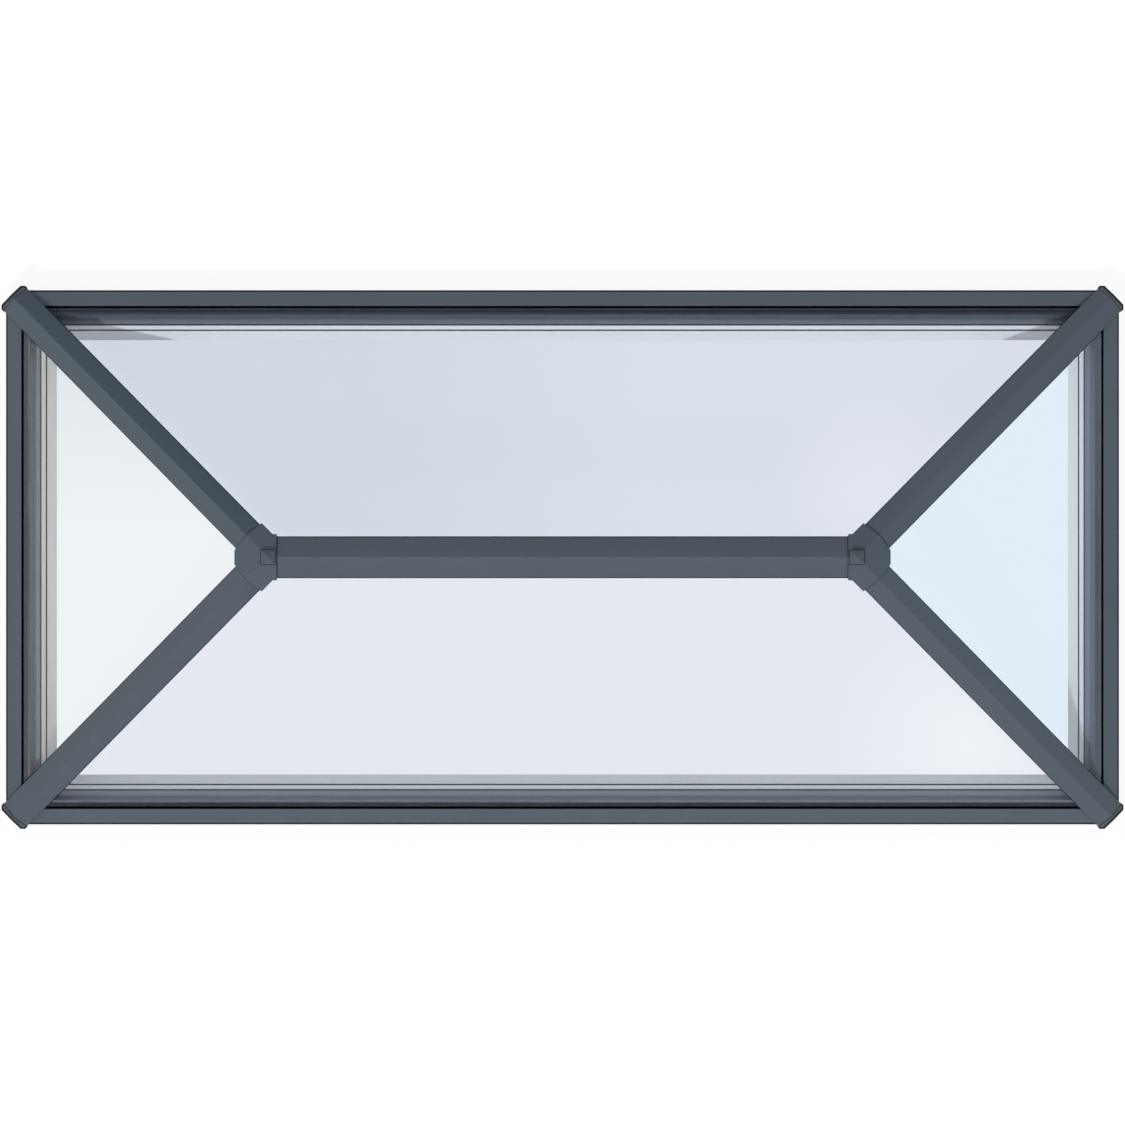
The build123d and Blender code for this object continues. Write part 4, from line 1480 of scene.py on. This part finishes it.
@dataclass
class Stage:
    """Pale floor, soft light and the camera.

    Attributes:
        floor_radii: Radii of the floor's rings.
        floor_sides: Points on each.
        floor_height: Height, a hair below the kerb.
        floor_roughness: Roughness.
        room: Distances in X and in Y between which the lantern's inside ends.
        floor_inside: Colour for bounced light inside.
        floor_outside: The same outside.
        bare_glow: Share of white past the glass.
        glass_glow: Share of the glass's tone through it.
        seams: Half widths of the blends at the hips, and along Y and X.
        through: Tone through each side's glass, with painted light and shade that differ by side.
        through_far: Painted shade: the darker tone at the back's left end and the left's back end.
        back_turn: X between which the back's painted tone turns.
        left_turn: Y between which the left's painted tone turns.
        patches: Middle, radius and tone of a patch of light.
        ambient: Sky for bounced light: up, west, east, south, north, down.
        mirrored: The same for reflections.
        key_direction: Direction to the lamp.
        key_strength: Strength.
        key_angle: Width in degrees.
        key_color: Colour.
        camera_place: Place of the camera.
        lens: Focal length in millimetres.
        sensor: Picture's width in millimetres.
        camera_reach: How far it sees.
    """

    floor_radii: tuple[float, ...] = (2.0, 6.0, 20.0, 60.0)
    floor_sides: int = 96
    floor_height: float = -0.4 * MM
    floor_roughness: float = 0.9
    room: tuple[Pair, Pair] = ((0.90, 0.96), (0.38, 0.44))
    floor_inside: Color = (0.80, 0.80, 0.80)
    floor_outside: Color = (0.08, 0.08, 0.08)
    bare_glow: float = 0.9
    glass_glow: float = 0.97
    seams: tuple[float, float, float] = (0.06, 0.05, 0.1)
    through: dict[Side, Color] = field(default_factory=lambda: {
        Side.BACK: (0.921, 0.933, 0.972), Side.FRONT: (1.022, 1.000, 1.029),
        Side.LEFT: (1.072, 1.065, 1.024), Side.RIGHT: (0.959, 1.009, 1.044)})
    through_far: dict[Side, Color] = field(default_factory=lambda: {
        Side.BACK: (0.841, 0.870, 0.909), Side.LEFT: (0.947, 0.945, 0.927)})
    back_turn: Pair = (-0.34, 0.16)
    left_turn: Pair = (0.05, 0.35)
    patches: dict[Side, tuple[Pair, float, Color]] = field(default_factory=lambda: {
        Side.BACK: ((0.57, 0.13), 0.20, (1.016, 1.005, 1.034)),
        Side.FRONT: ((0.73, -0.34), 0.26, (1.132, 1.10, 1.079))})
    ambient: tuple[Color, ...] = ((1.04, 1.04, 1.05), (0.53, 0.53, 0.51), (0.375, 0.395, 0.44),
                                  (0.18, 0.18, 0.18), (0.22, 0.225, 0.23), (0.05, 0.05, 0.05))
    mirrored: tuple[Color, ...] = ((0.36, 0.36, 0.36), (0.60, 0.59, 0.57), (0.52, 0.55, 0.60),
                                   (0.20, 0.19, 0.18), (0.02, 0.02, 0.02), (0.3, 0.3, 0.3))
    key_direction: tuple[float, float, float] = (-0.220, -0.575, 0.787)
    key_strength: float = 1.5
    key_angle: float = 1.0
    key_color: Color = (1.0, 0.99, 0.97)
    camera_place: tuple[float, float, float] = (0.0, -0.0093, 14.655)
    lens: float = 260.0
    sensor: float = 36.0
    camera_reach: float = 200.0

    def floor(self) -> None:
        """A round floor, white where the camera looks, with the lantern's shadow on it.

        The floor is a fan of rings: each ring's points lie at equal angles round the middle. It can be
        looked through from below.
        """
        angle = np.linspace(0, 2 * math.pi, self.floor_sides, endpoint=False)
        radii = np.array(self.floor_radii)[:, None]
        height = np.full((len(radii), self.floor_sides), self.floor_height)
        rings = np.stack([radii * np.cos(angle), radii * np.sin(angle), height], axis=2)
        faces = ring_faces(len(radii), self.floor_sides) + [tuple(range(self.floor_sides))]
        floor = mesh_object("floor", rings.reshape(-1, 3), faces)
        material, net, shader = new_material("studio_floor")
        room, through = self.floor_tones(net)
        path = net.add("ShaderNodeLightPath").outputs
        seen = net.math("MAXIMUM", path["Is Camera Ray"], path["Is Glossy Ray"])
        below = path["Is Transmission Ray"]
        tone = net.blend(seen, net.blend(room, self.floor_outside, self.floor_inside), WHITE)
        net.feed(shader, {"Base Color": tone, "Roughness": self.floor_roughness, "Specular IOR Level": 0.0})
        share = net.math("MAXIMUM", net.math("MULTIPLY", seen, self.bare_glow),
                         net.math("MULTIPLY", below, self.glass_glow))
        glow = net.add("ShaderNodeEmission", {"Color": net.blend(below, WHITE, through)})
        underside = net.add("ShaderNodeNewGeometry").outputs["Backfacing"]
        net.show(net.mix(underside, net.mix(share, shader, glow), net.add("ShaderNodeBsdfTransparent")))
        floor.data.materials.append(material)

    def floor_tones(self, net: Shading) -> tuple[Socket, Socket]:
        """Where the floor lies inside the lantern, and its colour seen through the glass, with painted light
        and shade.

        Args:
            net: The floor's tree.

        Returns:
            Share of the floor inside, and the colour blended between the four sides' painted tones.
        """
        where = net.place()
        spot = net.add("ShaderNodeSeparateXYZ", {0: where}).outputs
        x, y = spot["X"], spot["Y"]
        across, along = net.math("ABSOLUTE", x), net.math("ABSOLUTE", y)
        room = net.math("MULTIPLY", *(net.fall(distance, *limits)
                                      for distance, limits in zip((across, along), self.room)))
        end_seam, long_seam, short_seam = self.seams
        # Painted shade: the back and left tones darken towards their far ends.
        back = net.blend(net.rise(x, *self.back_turn), self.through_far[Side.BACK], self.through[Side.BACK])
        left = net.blend(net.rise(y, *self.left_turn), self.through[Side.LEFT], self.through_far[Side.LEFT])
        front, back = (self.patch(net, where, side, tone)
                       for side, tone in ((Side.FRONT, self.through[Side.FRONT]), (Side.BACK, back)))
        long_tone = net.blend(net.rise(y, -long_seam, long_seam), front, back)
        end_tone = net.blend(net.rise(x, -short_seam, short_seam), left, self.through[Side.RIGHT])
        end = net.rise(net.math("SUBTRACT", across, along), ROOF.apex_x - end_seam, ROOF.apex_x + end_seam)
        return room, net.blend(end, long_tone, end_tone)

    def patch(self, net: Shading, where: Socket, side: Side, tone: Tone) -> Socket:
        """A soft patch of light on the floor seen through a side's glass.

        Args:
            net: The floor's tree.
            where: Place on the floor.
            side: Side whose patch it is.
            tone: Colour of the floor without it.

        Returns:
            Colour with the patch, strongest at its middle.
        """
        middle, radius, light = self.patches[side]
        away = net.add("ShaderNodeVectorMath", {0: where, 1: (*middle, 0.0)}, operation="DISTANCE")
        return net.blend(net.fall(away.outputs["Value"], 0.0, radius), tone, light)

    def lamp(self) -> None:
        """A soft key lamp from the front left."""
        lamp = bpy.data.lights.new("key", "SUN")
        lamp.energy = self.key_strength
        lamp.angle = math.radians(self.key_angle)
        lamp.color = self.key_color
        key = bpy.data.objects.new("key", lamp)
        x, y, z = self.key_direction
        key.rotation_euler = (math.atan2(math.hypot(x, y), z), 0.0, math.atan2(y, x) + math.pi / 2)
        bpy.context.scene.collection.objects.link(key)

    def world(self) -> None:
        """A pale sky that is white straight on and through glass.

        A ray that leaves a pane after a reflection inside it sees the sky that the pane's face mirrors.
        """
        world = bpy.data.worlds.new("studio")
        bpy.context.scene.world = world
        world.use_nodes = True
        net = Shading(world.node_tree)
        direction = net.add("ShaderNodeTexCoord").outputs["Generated"]
        spot = net.add("ShaderNodeSeparateXYZ", {0: direction}).outputs
        path = net.add("ShaderNodeLightPath").outputs
        through = path["Is Transmission Ray"]
        inside = net.math("MINIMUM", through, path["Glossy Depth"])
        mirrored = net.math("MAXIMUM", path["Is Glossy Ray"], inside)
        light = net.blend(mirrored, self.sky(net, spot, self.ambient), self.sky(net, spot, self.mirrored))
        seen = net.math("MAXIMUM", path["Is Camera Ray"], net.math("SUBTRACT", through, inside))
        background = world.node_tree.nodes["Background"]
        net.feed(background, {"Color": net.blend(seen, light, WHITE), "Strength": 1.0})

    def sky(self, net: Shading, spot: bpy.types.NodeOutputs, tones: Sequence[Color]) -> Socket:
        """Colour of the sky in a direction, blended from its colours up, west, east, south, north and down.

        Each colour's share is the square of the direction's part along its axis, so the shares add to one.

        Args:
            net: The world's tree.
            spot: The direction's X, Y and Z.
            tones: The six colours.

        Returns:
            The blended colour.
        """
        shares = []
        for (axis, sign), tone in zip((("Z", 1), ("X", -1), ("X", 1), ("Y", -1), ("Y", 1), ("Z", -1)), tones):
            part = net.math("MAXIMUM", net.math("MULTIPLY", spot[axis], sign), 0.0)
            shares.append(net.scale(tone, net.math("MULTIPLY", part, part)))
        return reduce(net.plus, shares)

    def camera(self) -> None:
        """A camera high above the ridge, looking straight down with the back of the lantern at the top."""
        data = bpy.data.cameras.new("camera")
        data.lens = self.lens
        data.sensor_width = self.sensor
        data.clip_end = self.camera_reach
        camera = bpy.data.objects.new("camera", data)
        camera.location = self.camera_place
        bpy.context.scene.collection.objects.link(camera)
        bpy.context.scene.camera = camera

    def build(self) -> None:
        """Sets the stage."""
        self.floor()
        self.lamp()
        self.world()
        self.camera()
        bpy.context.scene.view_settings.view_transform = "Standard"
        LOG.info("stage set")


def main() -> None:
    """Builds the dressed lantern in order."""
    logging.basicConfig(level=logging.INFO, format="%(name)s: %(message)s")
    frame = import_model()
    dresser = Dresser(frame)
    cappings = (HipCaps(), RidgeCap(), EndCaps(), HubCovers(), Finials())
    for assembly in (RingFrame(), Glazing(), Bars(), *cappings):
        assembly.build(dresser)
    missing = sorted(set(frame["nodes"]) - dresser.dressed)
    if missing:
        raise ValueError(f"nodes without a finish: {missing}")
    Stage().build()


if __name__ == "__main__":
    main()
